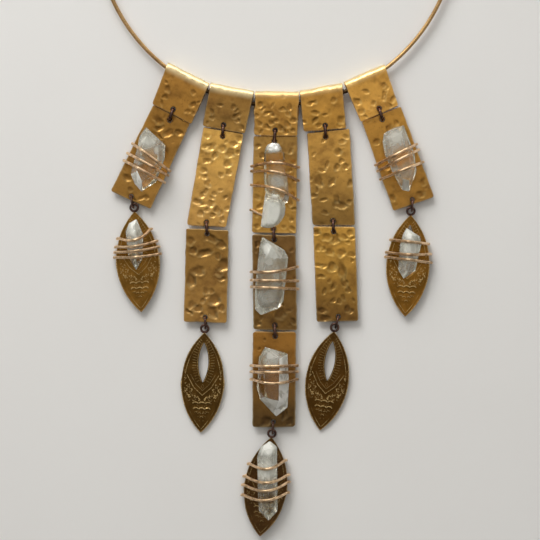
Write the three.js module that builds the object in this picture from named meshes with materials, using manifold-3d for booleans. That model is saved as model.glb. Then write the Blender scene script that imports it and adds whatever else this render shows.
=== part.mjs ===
// Bib necklace: a round neck wire carries five folded brass bails. Brass plates, marquise drops and
// wire-wrapped quartz points hang from the bails on jump rings, here laid flat on a surface.
// Millimetres; +Y runs from the bib towards the back of the neck, and +Z out of the surface.
import * as THREE from "three";
import { ConvexGeometry } from "three/addons/geometries/ConvexGeometry.js";
import { mergeVertices } from "three/addons/utils/BufferGeometryUtils.js";
import Module from "manifold-3d";

const wasm = await Module();
wasm.setup();

// Driving dimensions, in millimetres.
const GAP = 0.3; // clearance between neighbouring pieces
const SHEET = 0.8; // thickness of the bails and the plates
const CORNER = 0.7; // rounding of a sheet's corners

const COLLAR_RADIUS = 64.2; // centre line of the neck wire
const COLLAR_AT = [-0.35, 76.15]; // centre of the neck wire's circle
const COLLAR_WIRE_RADIUS = 0.7;
const FOLD_RADIUS = 2.3; // outside of a bail's fold, which also sets the neck wire's height
const BAIL_BACK_LENGTH = 11; // back flap of a bail, from its folded edge
const BAIL_FRONT_LOW = 2.6; // underside of a bail's front flap at its free end

const CLASP = { length: 10, radius: 2.3, bore: 1.2, boreDepth: 3, edge: 0.5 };
const CLASP_WIRE_DEPTH = 2.5; // how far each end of the neck wire goes into the clasp

const PLATE_LOW = 1.5; // underside of every plate, which rests on the rings' lower wires
const PLATE_TOP = PLATE_LOW + SHEET;

const LINK = { radius: 2.1, wire: 0.55, hole: 1.0 }; // ring between two sheets
const HANGER = { radius: 2.1, wire: 0.4, hole: 0.9 }; // ring between a plate and a drop

const DROP = { width: 15.4, thickness: 1.0, loopRadius: 1.3, loopWire: 0.35, standoff: 1.35 };
const DROP_SLOT = { start: 3.6, length: 14.3, width: 3.5 };
const DROP_LOOP_HEIGHT = 1.8; // centre of each drop's loop above the surface
const DROP_TOP = DROP_LOOP_HEIGHT + DROP.thickness / 2;

const WRAP_WIRE_RADIUS = 0.46;
const WRAP_TAIL = 3; // how far the ends of a wrap's wire run in under the sheet

// Each sheet is given by the middle of its top and bottom edges, the lengths of those edges, and
// the angles in degrees that they make with the X axis.
const BAILS = [
  { name: "bail_1", top: [-31.55, 23.5], bottom: [-37.7, 8.7], width: [16.5, 15.8], edge: [-25.8, -27.8] },
  { name: "bail_2", top: [-16.0, 18.5], bottom: [-19.2, 3.1], width: [15.6, 15.4], edge: [-10.5, -10.3] },
  { name: "bail_3", top: [-0.15, 17.1], bottom: [-0.7, 1.0], width: [15.4, 15.7], edge: [-0.9, -2.1] },
  { name: "bail_4", top: [15.4, 18.5], bottom: [16.9, 3.0], width: [15.3, 15.2], edge: [10, 4.2] },
  { name: "bail_5", top: [30.8, 23.4], bottom: [36.4, 8.8], width: [15.6, 14.7], edge: [24, 24.1] },
];
const PLATES = [
  { name: "plate_1", top: [-37.7, 8.8], bottom: [-52.4, -21.9], width: [14.7, 15.6], edge: [-27.4, -24.6] },
  { name: "plate_2_upper", top: [-19.2, 3.0], bottom: [-25.3, -31.2],
    width: [14.6, 14.1], edge: [-9.5, -3.3] },
  { name: "plate_2_lower", top: [-25.0, -32.3], bottom: [-25.8, -65.5],
    width: [15.3, 15.3], edge: [-2.8, -1.9] },
  { name: "plate_3_upper", top: [-0.7, 1.0], bottom: [-1.2, -33.7],
    width: [15.7, 15.8], edge: [0.0, -1.4] },
  { name: "plate_3_middle", top: [-1.3, -34.3], bottom: [-0.8, -68.2],
    width: [15.5, 15.5], edge: [-1.9, -1.7] },
  { name: "plate_3_lower", top: [-1.1, -68.8], bottom: [-1.3, -102.9],
    width: [15.5, 15.3], edge: [0.0, 0.8] },
  { name: "plate_4_upper", top: [18.1, 2.8], bottom: [20.1, -30.9],
    width: [15.3, 15.2], edge: [5.6, -0.8] },
  { name: "plate_4_lower", top: [20.2, -31.4], bottom: [21.4, -65.2],
    width: [15.0, 14.8], edge: [-1.0, 1.0] },
  { name: "plate_5", top: [37.0, 8.9], bottom: [48.6, -23.3], width: [15.0, 15.4], edge: [21.4, 19.4] },
];

// Jump rings stand on edge. A ring's turn is the angle in degrees from -Y to its lower end.
const LINKS = [
  { name: "ring_bail_1", upper: "bail_1", lower: "plate_1", at: [-37.8, 8.5], turn: -17.5 },
  { name: "ring_bail_2", upper: "bail_2", lower: "plate_2_upper", at: [-19.4, 2.8], turn: -5 },
  { name: "ring_bail_3", upper: "bail_3", lower: "plate_3_upper", at: [-1.0, 0.9], turn: -4.4 },
  { name: "ring_bail_4", upper: "bail_4", lower: "plate_4_upper", at: [17.1, 2.6], turn: 3.1 },
  { name: "ring_bail_5", upper: "bail_5", lower: "plate_5", at: [36.8, 8.8], turn: 16.6 },
  { name: "ring_plate_2", upper: "plate_2_upper", lower: "plate_2_lower", at: [-25.2, -31.8], turn: 3.5 },
  { name: "ring_plate_3_upper", upper: "plate_3_upper", lower: "plate_3_middle", at: [-1.3, -34.1],
    turn: 3.2 },
  { name: "ring_plate_3_lower", upper: "plate_3_middle", lower: "plate_3_lower", at: [-0.9, -68.5],
    turn: 1.6 },
  { name: "ring_plate_4", upper: "plate_4_upper", lower: "plate_4_lower", at: [19.9, -31.2], turn: 2.4 },
];

// A drop hangs on its own ring, named by the ring's place, and points to its tip.
const DROPS = [
  { name: "drop_1", plate: "plate_1", ringAt: [-51.8, -22.5],
    turn: 10, tip: [-48.6, -61.9], wrapped: true },
  { name: "drop_2", plate: "plate_2_lower", ringAt: [-25.7, -65.6],
    turn: 2, tip: [-27.4, -104.9], wrapped: false },
  { name: "drop_3", plate: "plate_3_lower", ringAt: [-1.6, -103.0],
    turn: -2, tip: [-6.3, -141.9], wrapped: true },
  { name: "drop_4", plate: "plate_4_lower", ringAt: [21.2, -65.3],
    turn: -14, tip: [15.2, -104.1], wrapped: false },
  { name: "drop_5", plate: "plate_5", ringAt: [48.0, -23.7], turn: -3, tip: [45.5, -63.5], wrapped: true },
];

// A quartz point is one or more convex lumps. Each lump is a girdle outline at its widest level, with
// smaller faces below and above it: "low" and "high" are heights above the sheet it lies on, and
// "lean" is the angle in degrees of its long axis, like a ring's turn.
const QUARTZ = [
  {
    name: "crystal_plate_1",
    on: "plate_1",
    lumps: [
      { lean: -20, low: 0, high: 7.4,
        outline: [[-46.8, 4.1], [-39.8, -2.4], [-40.1, -7.5], [-43.1, -15.6], [-48.4, -19.0],
          [-50.9, -16.1], [-52.2, -12.8], [-50.6, -5.6], [-49.0, 1.0]] },
    ],
  },
  {
    name: "crystal_plate_3_upper",
    on: "plate_3_upper",
    lumps: [
      { lean: 0, low: 0.2, high: 5.6,
        outline: [[-4.0, -2.3], [-1.6, -1.5], [0.4, -1.8], [1.5, -3.6], [2.6, -5.2], [2.7, -10], [-5.0, -10],
          [-4.8, -4.2]] },
      { lean: 0, low: 0, high: 6.8,
        outline: [[-4.9, -7], [2.7, -7], [2.8, -12], [3.8, -15], [4.3, -21.2], [3.7, -22.8], [2.6, -23.6],
          [-4.4, -23.2], [-5.1, -12.6]] },
      { lean: 0, low: 1.4, high: 8.2,
        outline: [[-4.5, -19], [1.8, -19], [3.0, -24.6], [2.7, -27.5], [0.9, -30.3], [-0.9, -31.5],
          [-2.9, -32.1], [-6.2, -31.7], [-5.4, -28.4]] },
    ],
  },
  {
    name: "crystal_plate_3_middle",
    on: "plate_3_middle",
    lumps: [
      { lean: 1, low: 0, high: 8.0,
        outline: [[-5.5, -34.9], [-3.0, -36.3], [2.4, -39.6], [3.9, -42.4], [3.1, -48.2], [2.1, -57.9],
          [0.5, -60.5], [-6.0, -62.9], [-8.1, -60.8], [-8.2, -55.0], [-6.9, -45.9], [-6.5, -38.8]] },
    ],
  },
  {
    name: "crystal_plate_3_lower",
    on: "plate_3_lower",
    lumps: [
      { lean: 2, low: 0, high: 8.2,
        outline: [[-4.5, -74.1], [0.5, -76.1], [3.6, -76.5], [4.1, -87.5], [3.6, -95.7], [-0.5, -99.0],
          [-6.2, -92.8], [-7.4, -89.0], [-6.7, -77.9]] },
    ],
  },
  {
    name: "crystal_plate_5",
    on: "plate_5",
    lumps: [
      { lean: 18, low: 0, high: 7.2,
        outline: [[37.8, 1.9], [41.4, 3.8], [44.9, 4.7], [46.8, -1.5], [48.8, -5.4], [49.5, -11.7],
          [46.8, -19.0], [44.2, -18.4], [41.0, -12.4], [38.0, -5.7], [37.3, -1.1]] },
    ],
  },
  {
    name: "crystal_drop_1",
    on: "drop_1",
    lumps: [
      { lean: 0, low: 0, high: 5.6,
        outline: [[-50.2, -28.6], [-52.9, -30.2], [-54.1, -33.2], [-53.2, -41.8], [-50.3, -47.0],
          [-48.0, -42.7], [-47.7, -34.3]] },
    ],
  },
  {
    name: "crystal_drop_3",
    on: "drop_3",
    lumps: [
      { lean: 0, low: 0, high: 6.0,
        outline: [[-2.7, -107.5], [-6.1, -109.8], [-7.3, -113.3], [-7.0, -127.2], [-6.6, -132.6],
          [-3.2, -136.1], [0.1, -132.6], [-0.1, -109.7]] },
    ],
  },
  {
    name: "crystal_drop_5",
    on: "drop_5",
    lumps: [
      { lean: -10, low: 0, high: 6.2,
        outline: [[45.9, -31.8], [50.8, -34.9], [51.2, -37.8], [49.1, -47.2], [44.8, -50.0],
          [42.9, -46.9], [43.5, -37.8], [44.6, -34.0]] },
    ],
  },
];
const FACE_WIDTH = 0.52; // a quartz point's upper and lower faces, as shares of its girdle
const FACE_LENGTH = 0.8;
const GIRDLE_LEVEL = 0.42; // the girdle's height as a share of the lump's height

// A wrap's strands cross the front in order. "left" and "right" are where a strand meets the sheet's
// two sides, measured from the sheet's top. "bow" bends it towards the collar, and "under" runs it
// between the sheet and the quartz.
const WRAPS = [
  {
    name: "wrap_plate_1",
    on: "plate_1",
    quartz: "crystal_plate_1",
    strands: [
      { left: 15.9, right: 18.3 },
      { left: 19.7, right: 20.1 },
      { left: 22.6, right: 22.9 },
    ],
  },
  {
    name: "wrap_plate_3_upper",
    on: "plate_3_upper",
    quartz: "crystal_plate_3_upper",
    strands: [
      { left: 10.8, right: 11.2, bow: 1.2 },
      { left: 12.7, right: 15.8, bow: 1.2 },
      { left: 17.7, right: 22.7, bow: 1.2 },
      { left: 26.5, right: 29.4, bow: -1.5, under: true },
    ],
  },
  {
    name: "wrap_plate_3_middle",
    on: "plate_3_middle",
    quartz: "crystal_plate_3_middle",
    strands: [
      { left: 13.4, right: 11.2, bow: -0.8 },
      { left: 16.4, right: 16.2 },
      { left: 18.8, right: 19.0 },
    ],
  },
  {
    name: "wrap_plate_3_lower",
    on: "plate_3_lower",
    quartz: "crystal_plate_3_lower",
    strands: [
      { left: 12.1, right: 12.1 },
      { left: 14.3, right: 14.3 },
      { left: 17.0, right: 17.0, bow: -1.2 },
    ],
  },
  {
    name: "wrap_plate_5",
    on: "plate_5",
    quartz: "crystal_plate_5",
    strands: [
      { left: 16.3, right: 14.8 },
      { left: 18.5, right: 16.9 },
      { left: 21.7, right: 21.5 },
    ],
  },
  {
    name: "wrap_drop_1",
    on: "drop_1",
    quartz: "crystal_drop_1",
    strands: [
      { left: 9.2, right: 6.8, bow: -2.2 },
      { left: 12.2, right: 11.1, bow: -0.8 },
      { left: 14.1, right: 13.2, bow: -0.5 },
      { left: 15.9, right: 15.7, bow: -0.5 },
    ],
  },
  {
    name: "wrap_drop_3",
    on: "drop_3",
    quartz: "crystal_drop_3",
    strands: [
      { left: 10.3, right: 7.7, bow: -2.1 },
      { left: 14.9, right: 12.7, bow: -2.2 },
      { left: 18.0, right: 15.2, bow: -2.3 },
      { left: 21.6, right: 19.0, bow: -2.0 },
    ],
  },
  {
    name: "wrap_drop_5",
    on: "drop_5",
    quartz: "crystal_drop_5",
    strands: [
      { left: 9.3, right: 10.0 },
      { left: 13.8, right: 13.6, bow: -0.5 },
      { left: 15.5, right: 16.6 },
    ],
  },
];

// Mesh detail.
const COLLAR_STEPS = 84;
const HULL_SAMPLES = 24;
const DROP_STEPS = 14;

const toRad = THREE.MathUtils.degToRad;

const FINISHES = {
  collar: { color: 0xb98b45, metalness: 1, roughness: 0.3 },
  brass: { color: 0xa87a3c, metalness: 1, roughness: 0.42 },
  antique: { color: 0x7a5a2c, metalness: 1, roughness: 0.45 },
  dark: { color: 0x33241b, metalness: 1, roughness: 0.4 },
  rose: { color: 0xc79a6a, metalness: 1, roughness: 0.3 },
  quartz: { color: 0xd9d8d2, metalness: 0, roughness: 0.15 },
};

const necklace = new THREE.Group();
necklace.name = "bib_necklace";

function addPiece(name, geometry, finish) {
  const mesh = new THREE.Mesh(geometry, new THREE.MeshStandardMaterial(FINISHES[finish]));
  mesh.name = name;
  necklace.add(mesh);
  return mesh;
}

// Booleans: a closed three.js geometry as a solid, and back.
function toSolid(geometry) {
  const bare = geometry.clone();
  bare.deleteAttribute("normal");
  bare.deleteAttribute("uv");
  const merged = mergeVertices(bare, 1e-4);
  return new wasm.Manifold(
    new wasm.Mesh({
      numProp: 3,
      vertProperties: new Float32Array(merged.attributes.position.array),
      triVerts: new Uint32Array(merged.index.array),
    }),
  );
}

function toGeometry(solid) {
  const mesh = solid.getMesh();
  const geometry = new THREE.BufferGeometry();
  geometry.setAttribute("position", new THREE.BufferAttribute(new Float32Array(mesh.vertProperties), 3));
  geometry.setIndex(new THREE.BufferAttribute(new Uint32Array(mesh.triVerts), 1));
  geometry.computeVertexNormals();
  return geometry;
}

// A direction in the surface: turn 0 is -Y, and a positive turn leads towards +X.
function direction(turn) {
  return new THREE.Vector2(Math.sin(toRad(turn)), -Math.cos(toRad(turn)));
}

// The four corners of a sheet, seen from the front.
function cornersOf({ top, bottom, width, edge }) {
  const end = ([x, y], length, angle) =>
    new THREE.Vector2(x + length * Math.cos(toRad(angle)), y + length * Math.sin(toRad(angle)));
  return {
    topLeft: end(top, -width[0] / 2, edge[0]),
    topRight: end(top, width[0] / 2, edge[0]),
    bottomLeft: end(bottom, -width[1] / 2, edge[1]),
    bottomRight: end(bottom, width[1] / 2, edge[1]),
  };
}

// Where a standing ring's centre line crosses the level z, on its upper (+1) or lower (-1) side.
function crossing(at, turn, ring, z, side) {
  const rise = z - (ring.radius + ring.wire);
  const reach = Math.sqrt(ring.radius ** 2 - rise ** 2);
  return new THREE.Vector2(...at).addScaledVector(direction(turn), -side * reach);
}

function holesInPlate(name) {
  const middle = PLATE_LOW + SHEET / 2;
  const linked = LINKS.filter((row) => row.upper === name || row.lower === name).map((row) => ({
    centre: crossing(row.at, row.turn, LINK, middle, row.upper === name ? 1 : -1),
    radius: LINK.hole,
  }));
  const hung = DROPS.filter((row) => row.plate === name).map((row) => ({
    centre: crossing(row.ringAt, row.turn, HANGER, middle, 1),
    radius: HANGER.hole,
  }));
  return [...linked, ...hung];
}

// A flat sheet with rounded corners and round holes.
function plateGeometry(row) {
  const { topLeft, topRight, bottomLeft, bottomRight } = cornersOf(row);
  const corners = [topLeft, bottomLeft, bottomRight, topRight];
  const shape = new THREE.Shape();
  corners.forEach((corner, i) => {
    const before = corners[(i + 3) % 4];
    const after = corners[(i + 1) % 4];
    const start = corner.clone().addScaledVector(before.clone().sub(corner).normalize(), CORNER);
    const end = corner.clone().addScaledVector(after.clone().sub(corner).normalize(), CORNER);
    if (i === 0) shape.moveTo(start.x, start.y);
    else shape.lineTo(start.x, start.y);
    shape.quadraticCurveTo(corner.x, corner.y, end.x, end.y);
  });
  shape.closePath();
  for (const { centre, radius } of holesInPlate(row.name)) {
    const hole = new THREE.Path();
    hole.absarc(centre.x, centre.y, radius, 0, 2 * Math.PI, true);
    shape.holes.push(hole);
  }
  const options = { depth: SHEET, bevelEnabled: false, curveSegments: 5 };
  return new THREE.ExtrudeGeometry(shape, options).translate(0, 0, PLATE_LOW);
}

// A bail's side view, drawn with s down from the folded edge and z up, is carried across the
// sheet's width and then fitted to its four corners.
function bailGeometry(row) {
  const corners = cornersOf(row);
  const length = new THREE.Vector2(...row.top).distanceTo(new THREE.Vector2(...row.bottom));
  const profile = new THREE.Shape();
  profile.moveTo(length, BAIL_FRONT_LOW + SHEET);
  profile.lineTo(FOLD_RADIUS, 2 * FOLD_RADIUS);
  profile.absarc(FOLD_RADIUS, FOLD_RADIUS, FOLD_RADIUS, Math.PI / 2, 1.5 * Math.PI, false);
  profile.lineTo(BAIL_BACK_LENGTH, 0);
  profile.lineTo(BAIL_BACK_LENGTH, SHEET);
  profile.lineTo(FOLD_RADIUS, SHEET);
  profile.absarc(FOLD_RADIUS, FOLD_RADIUS, FOLD_RADIUS - SHEET, 1.5 * Math.PI, Math.PI / 2, true);
  profile.lineTo(length, BAIL_FRONT_LOW);
  profile.closePath();
  const geometry = new THREE.ExtrudeGeometry(profile, { depth: 1, bevelEnabled: false, curveSegments: 6 });
  const position = geometry.attributes.position;
  for (let i = 0; i < position.count; i++) {
    const down = position.getX(i) / length;
    const across = 1 - position.getZ(i);
    const left = corners.topLeft.clone().lerp(corners.bottomLeft, down);
    const right = corners.topRight.clone().lerp(corners.bottomRight, down);
    const place = left.lerp(right, across);
    position.setXYZ(i, place.x, place.y, position.getY(i));
  }
  const link = LINKS.find((item) => item.upper === row.name);
  const hole = crossing(link.at, link.turn, LINK, BAIL_FRONT_LOW + SHEET / 2, 1);
  const drill = new THREE.CylinderGeometry(LINK.hole, LINK.hole, 4 * SHEET, 12);
  drill.rotateX(Math.PI / 2).translate(hole.x, hole.y, BAIL_FRONT_LOW + SHEET / 2);
  return toGeometry(toSolid(geometry).subtract(toSolid(drill)));
}

// A jump ring standing on edge on the surface.
function addRing(name, at, turn, ring) {
  const mesh = addPiece(name, new THREE.TorusGeometry(ring.radius, ring.wire, 6, 14), "dark");
  mesh.rotation.order = "ZYX";
  mesh.rotation.set(0, Math.PI / 2, toRad(turn));
  mesh.position.set(at[0], at[1], ring.radius + ring.wire);
}

// A drop's place: its loop's centre in the surface, its lean, and its body's length.
function dropPlace({ ringAt, turn, tip }) {
  const loop = crossing(ringAt, turn, HANGER, DROP_LOOP_HEIGHT, -1);
  const run = new THREE.Vector2(...tip).sub(loop);
  const lean = THREE.MathUtils.radToDeg(Math.atan2(run.x, -run.y));
  return { loop, lean, length: run.length() - DROP.standoff };
}

// Half the width of a marquise bounded by two equal arcs, at the share "down" of its length.
function marquiseHalfWidth(down, length, width) {
  const radius = ((length / 2) ** 2 + (width / 2) ** 2) / width;
  const along = length * (down - 0.5);
  return Math.sqrt(radius ** 2 - along ** 2) - (radius - width / 2);
}

function leafOutline(path, start, length, width, steps) {
  const side = (sign, i) => {
    const down = i / steps;
    return new THREE.Vector2(sign * marquiseHalfWidth(down, length, width), -start - down * length);
  };
  const points = [];
  for (let i = 0; i < steps; i++) points.push(side(-1, i));
  for (let i = steps; i > 0; i--) points.push(side(1, i));
  return path.setFromPoints(points);
}

// The drop lies along -Y from its loop at the origin, with its middle plane at z = 0.
function dropGeometry(length) {
  const shape = leafOutline(new THREE.Shape(), DROP.standoff, length, DROP.width, DROP_STEPS);
  const slotStart = DROP.standoff + DROP_SLOT.start;
  shape.holes.push(leafOutline(new THREE.Path(), slotStart, DROP_SLOT.length, DROP_SLOT.width, 8));
  const body = new THREE.ExtrudeGeometry(shape, { depth: DROP.thickness, bevelEnabled: false });
  body.translate(0, 0, -DROP.thickness / 2);
  const loop = new THREE.TorusGeometry(DROP.loopRadius, DROP.loopWire, 6, 14);
  return toGeometry(toSolid(body).add(toSolid(loop)));
}

function addDrop(row) {
  const { loop, lean, length } = dropPlace(row);
  const mesh = addPiece(row.name, dropGeometry(length), "antique");
  const fall = row.wrapped ? 0 : DROP_LOOP_HEIGHT - DROP.thickness / 2;
  mesh.rotation.order = "ZXY";
  mesh.rotation.set(Math.asin(fall / (length + DROP.standoff)), 0, toRad(lean));
  mesh.position.set(loop.x, loop.y, DROP_LOOP_HEIGHT);
  addRing(row.name.replace("drop", "ring_drop"), row.ringAt, row.turn, HANGER);
}

// A convex lump of quartz: its girdle outline with a smaller face below it and another above it.
function lumpGeometry({ lean, low, high, outline }, base) {
  const centre = new THREE.Vector2();
  outline.forEach(([x, y]) => centre.add(new THREE.Vector2(x, y)));
  centre.divideScalar(outline.length);
  const along = direction(lean);
  const across = new THREE.Vector2(-along.y, along.x);
  const girdle = base + low + GIRDLE_LEVEL * (high - low);
  const points = [];
  for (const [x, y] of outline) {
    const arm = new THREE.Vector2(x, y).sub(centre);
    const face = centre.clone();
    face.addScaledVector(along, FACE_LENGTH * arm.dot(along));
    face.addScaledVector(across, FACE_WIDTH * arm.dot(across));
    points.push(new THREE.Vector3(x, y, girdle));
    points.push(new THREE.Vector3(face.x, face.y, base + low));
    points.push(new THREE.Vector3(face.x, face.y, base + high));
  }
  return new ConvexGeometry(points);
}

function addQuartz({ name, on, lumps }) {
  const base = (on.startsWith("drop") ? DROP_TOP : PLATE_TOP) + GAP;
  const solids = lumps.map((lump) => toSolid(lumpGeometry(lump, base)));
  const joined = solids.reduce((whole, lump) => whole.add(lump));
  return addPiece(name, toGeometry(joined), "quartz");
}

// A wire's route: straight between its points, with each joint's tangent shared by its two sides.
class WirePath extends THREE.Curve {
  constructor(points) {
    super();
    this.points = points;
  }
  getUtoTmapping(u) {
    return u;
  }
  getPoint(t) {
    const place = t * (this.points.length - 1);
    const i = Math.min(Math.floor(place), this.points.length - 2);
    return this.points[i].clone().lerp(this.points[i + 1], place - i);
  }
  getTangent(t) {
    const i = Math.round(t * (this.points.length - 1));
    const here = this.points[i];
    const before = this.points[Math.max(i - 1, 0)];
    const after = this.points[Math.min(i + 1, this.points.length - 1)];
    const into = here.clone().sub(before).normalize();
    const out = after.clone().sub(here).normalize();
    return into.add(out).normalize();
  }
}

function wireGeometry(curve, radius, sides, steps) {
  const section = new THREE.Shape();
  for (let i = 0; i < sides; i++) {
    const angle = (2 * Math.PI * i) / sides;
    const x = radius * Math.cos(angle);
    const y = radius * Math.sin(angle);
    if (i === 0) section.moveTo(x, y);
    else section.lineTo(x, y);
  }
  section.closePath();
  return new THREE.ExtrudeGeometry(section, { steps, extrudePath: curve, bevelEnabled: false });
}

// The point on a sheet's left (-1) or right (+1) side, at a distance from the sheet's top.
function sidePoint(name, side, distance) {
  const plate = PLATES.find((row) => row.name === name);
  if (plate) {
    const corners = cornersOf(plate);
    const [from, to] =
      side < 0 ? [corners.topLeft, corners.bottomLeft] : [corners.topRight, corners.bottomRight];
    return from.clone().addScaledVector(to.clone().sub(from).normalize(), distance);
  }
  const { loop, lean, length } = dropPlace(DROPS.find((row) => row.name === name));
  const along = direction(lean);
  const across = new THREE.Vector2(-along.y, along.x);
  const half = marquiseHalfWidth(distance / length, length, DROP.width);
  return loop
    .clone()
    .addScaledVector(along, DROP.standoff + distance)
    .addScaledVector(across, side * half);
}

// The upper hull of (run, height) pairs: how a taut wire bridges what it is bound over.
function upperHull(pairs) {
  const hull = [];
  for (const pair of pairs) {
    while (hull.length > 1) {
      const [a, b] = hull.slice(-2);
      const turn = (b.x - a.x) * (pair.y - a.y) - (b.y - a.y) * (pair.x - a.x);
      if (turn < 0) break;
      hull.pop();
    }
    hull.push(pair);
  }
  return hull;
}

// A strand over the front of a sheet, from its left side to its right side.
function frontStrand(strand, on, quartz, top) {
  const { bow = 0, under = false } = strand;
  const from = sidePoint(on, -1, strand.left);
  const to = sidePoint(on, 1, strand.right);
  const upward = new THREE.Vector2(from.y - to.y, to.x - from.x).normalize();
  const planAt = (t) => from.clone().lerp(to, t).addScaledVector(upward, 4 * bow * t * (1 - t));
  const clearance = GAP + WRAP_WIRE_RADIUS;
  const heightAt = (t) => {
    if (under) return top;
    let highest = top;
    for (const aside of [-clearance, 0, clearance]) {
      const plan = planAt(t).addScaledVector(upward, aside);
      const ray = new THREE.Raycaster(new THREE.Vector3(plan.x, plan.y, 50), new THREE.Vector3(0, 0, -1));
      const hit = ray.intersectObject(quartz)[0];
      if (hit) highest = Math.max(highest, hit.point.z);
    }
    return highest;
  };
  const run = from.distanceTo(to);
  const samples = [];
  for (let i = 0; i <= HULL_SAMPLES; i++) {
    const t = i / HULL_SAMPLES;
    samples.push(new THREE.Vector2(t * run, heightAt(t)));
  }
  const hull = upperHull(samples);
  // Each hull point moves out by the clearance, along the mean of its two sides' normals.
  const raised = hull.slice(1, -1).map((point, i) => {
    const into = point.clone().sub(hull[i]).normalize();
    const out = hull[i + 2].clone().sub(point).normalize();
    const normal = new THREE.Vector2(-into.y - out.y, into.x + out.x).normalize();
    const share = Math.max(0.5, normal.dot(new THREE.Vector2(-into.y, into.x)));
    return point.clone().addScaledVector(normal, clearance / share);
  });
  // A bowed strand with few hull points also needs plan points along its bend.
  const stations = bow === 0 && raised.length ? [] : [0.25, 0.5, 0.75].map((t) => t * run);
  const ends = [new THREE.Vector2(0, top + clearance), new THREE.Vector2(run, top + clearance)];
  const profile = [ends[0], ...raised, ends[1]];
  const levelAt = (x) => {
    const i = profile.findIndex((point, n) => n > 0 && point.x >= x);
    const share = (x - profile[i - 1].x) / (profile[i].x - profile[i - 1].x);
    return THREE.MathUtils.lerp(profile[i - 1].y, profile[i].y, share);
  };
  const extra = stations.filter((x) => profile.every((point) => Math.abs(point.x - x) > 1));
  const level = [...raised, ...extra.map((x) => new THREE.Vector2(x, levelAt(x)))];
  level.sort((a, b) => a.x - b.x);
  return level.map((point) => {
    const plan = planAt(point.x / run);
    return new THREE.Vector3(plan.x, plan.y, point.y);
  });
}

// The turn round a sheet's side, listed from the front to the back.
function sideTurn(on, side, distance, low, top, outward) {
  const edge = sidePoint(on, side, distance);
  const clearance = GAP + WRAP_WIRE_RADIUS;
  const route = [
    [0.15, top + clearance],
    [0.75, top - 0.1],
    [0.75, low + 0.1],
    [0.15, low - clearance],
  ];
  return route.map(([out, z]) => {
    const plan = edge.clone().addScaledVector(outward, side * out);
    return new THREE.Vector3(plan.x, plan.y, z);
  });
}

function addWrap({ name, on, quartz, strands }) {
  const isDrop = on.startsWith("drop");
  const top = isDrop ? DROP_TOP : PLATE_TOP;
  const low = top - (isDrop ? DROP.thickness : SHEET);
  const behind = low - GAP - WRAP_WIRE_RADIUS;
  const stone = necklace.getObjectByName(quartz);
  const across = sidePoint(on, 1, strands[0].left).sub(sidePoint(on, -1, strands[0].left)).normalize();
  const tail = (side, distance) => {
    const plan = sidePoint(on, side, distance).addScaledVector(across, -side * WRAP_TAIL);
    return new THREE.Vector3(plan.x, plan.y, behind);
  };
  const route = [tail(-1, strands[0].left)];
  for (const strand of strands) {
    route.push(...sideTurn(on, -1, strand.left, low, top, across).reverse());
    route.push(...frontStrand(strand, on, stone, top));
    route.push(...sideTurn(on, 1, strand.right, low, top, across));
  }
  route.push(tail(1, strands.at(-1).right));
  addPiece(name, wireGeometry(new WirePath(route), WRAP_WIRE_RADIUS, 5, route.length - 1), "rose");
}

// The neck wire: all of a circle but the stretch inside the clasp.
function addCollar() {
  const half = Math.asin((CLASP.length / 2 - CLASP_WIRE_DEPTH) / COLLAR_RADIUS);
  const points = [];
  for (let i = 0; i <= COLLAR_STEPS; i++) {
    const angle = Math.PI / 2 + half + ((2 * Math.PI - 2 * half) * i) / COLLAR_STEPS;
    const x = COLLAR_AT[0] + COLLAR_RADIUS * Math.cos(angle);
    const y = COLLAR_AT[1] + COLLAR_RADIUS * Math.sin(angle);
    points.push(new THREE.Vector3(x, y, FOLD_RADIUS));
  }
  const wire = wireGeometry(new WirePath(points), COLLAR_WIRE_RADIUS, 8, COLLAR_STEPS);
  addPiece("collar_wire", wire, "collar");
}

// A plain barrel with a blind bore in each end.
function addClasp() {
  const { length, radius, bore, boreDepth, edge } = CLASP;
  const end = length / 2;
  const half = [
    [0, end - boreDepth],
    [bore, end - boreDepth],
    [bore, end],
    [radius - edge, end],
    [radius, end - edge],
  ];
  const mirrored = half.map(([r, y]) => [r, -y]);
  const profile = [...mirrored, ...half.reverse()].map(([r, y]) => new THREE.Vector2(r, y));
  const barrel = new THREE.LatheGeometry(profile, 16).rotateZ(Math.PI / 2);
  const mesh = addPiece("collar_clasp", barrel, "collar");
  const sink = COLLAR_RADIUS - Math.sqrt(COLLAR_RADIUS ** 2 - (end - CLASP_WIRE_DEPTH / 2) ** 2);
  mesh.position.set(COLLAR_AT[0], COLLAR_AT[1] + COLLAR_RADIUS - sink, FOLD_RADIUS);
}

addCollar();
addClasp();
BAILS.forEach((row) => addPiece(row.name, bailGeometry(row), "brass"));
PLATES.forEach((row) => addPiece(row.name, plateGeometry(row), "brass"));
LINKS.forEach((row) => addRing(row.name, row.at, row.turn, LINK));
DROPS.forEach(addDrop);
QUARTZ.forEach(addQuartz);
necklace.updateMatrixWorld(true);
WRAPS.forEach(addWrap);

// The part's origin is the middle of its outline in the surface.
const bounds = new THREE.Box3().setFromObject(necklace, true);
const middle = bounds.getCenter(new THREE.Vector3());
necklace.position.set(-middle.x, -middle.y, -bounds.min.z);

export default necklace;
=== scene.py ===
"""Looks of the bib necklace: hammered brass sleeves and plates, embossed marquise drops, wire-wrapped
quartz points and blackened jump rings on a round neck wire, lying on a pale surface.
Lengths inside the helpers are millimetres in the part's frame; meshes are written in metres."""
import math

import bmesh
import bpy
import numpy as np
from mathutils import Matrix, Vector
from mathutils.bvhtree import BVHTree
from mathutils.geometry import convex_hull_2d


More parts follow.
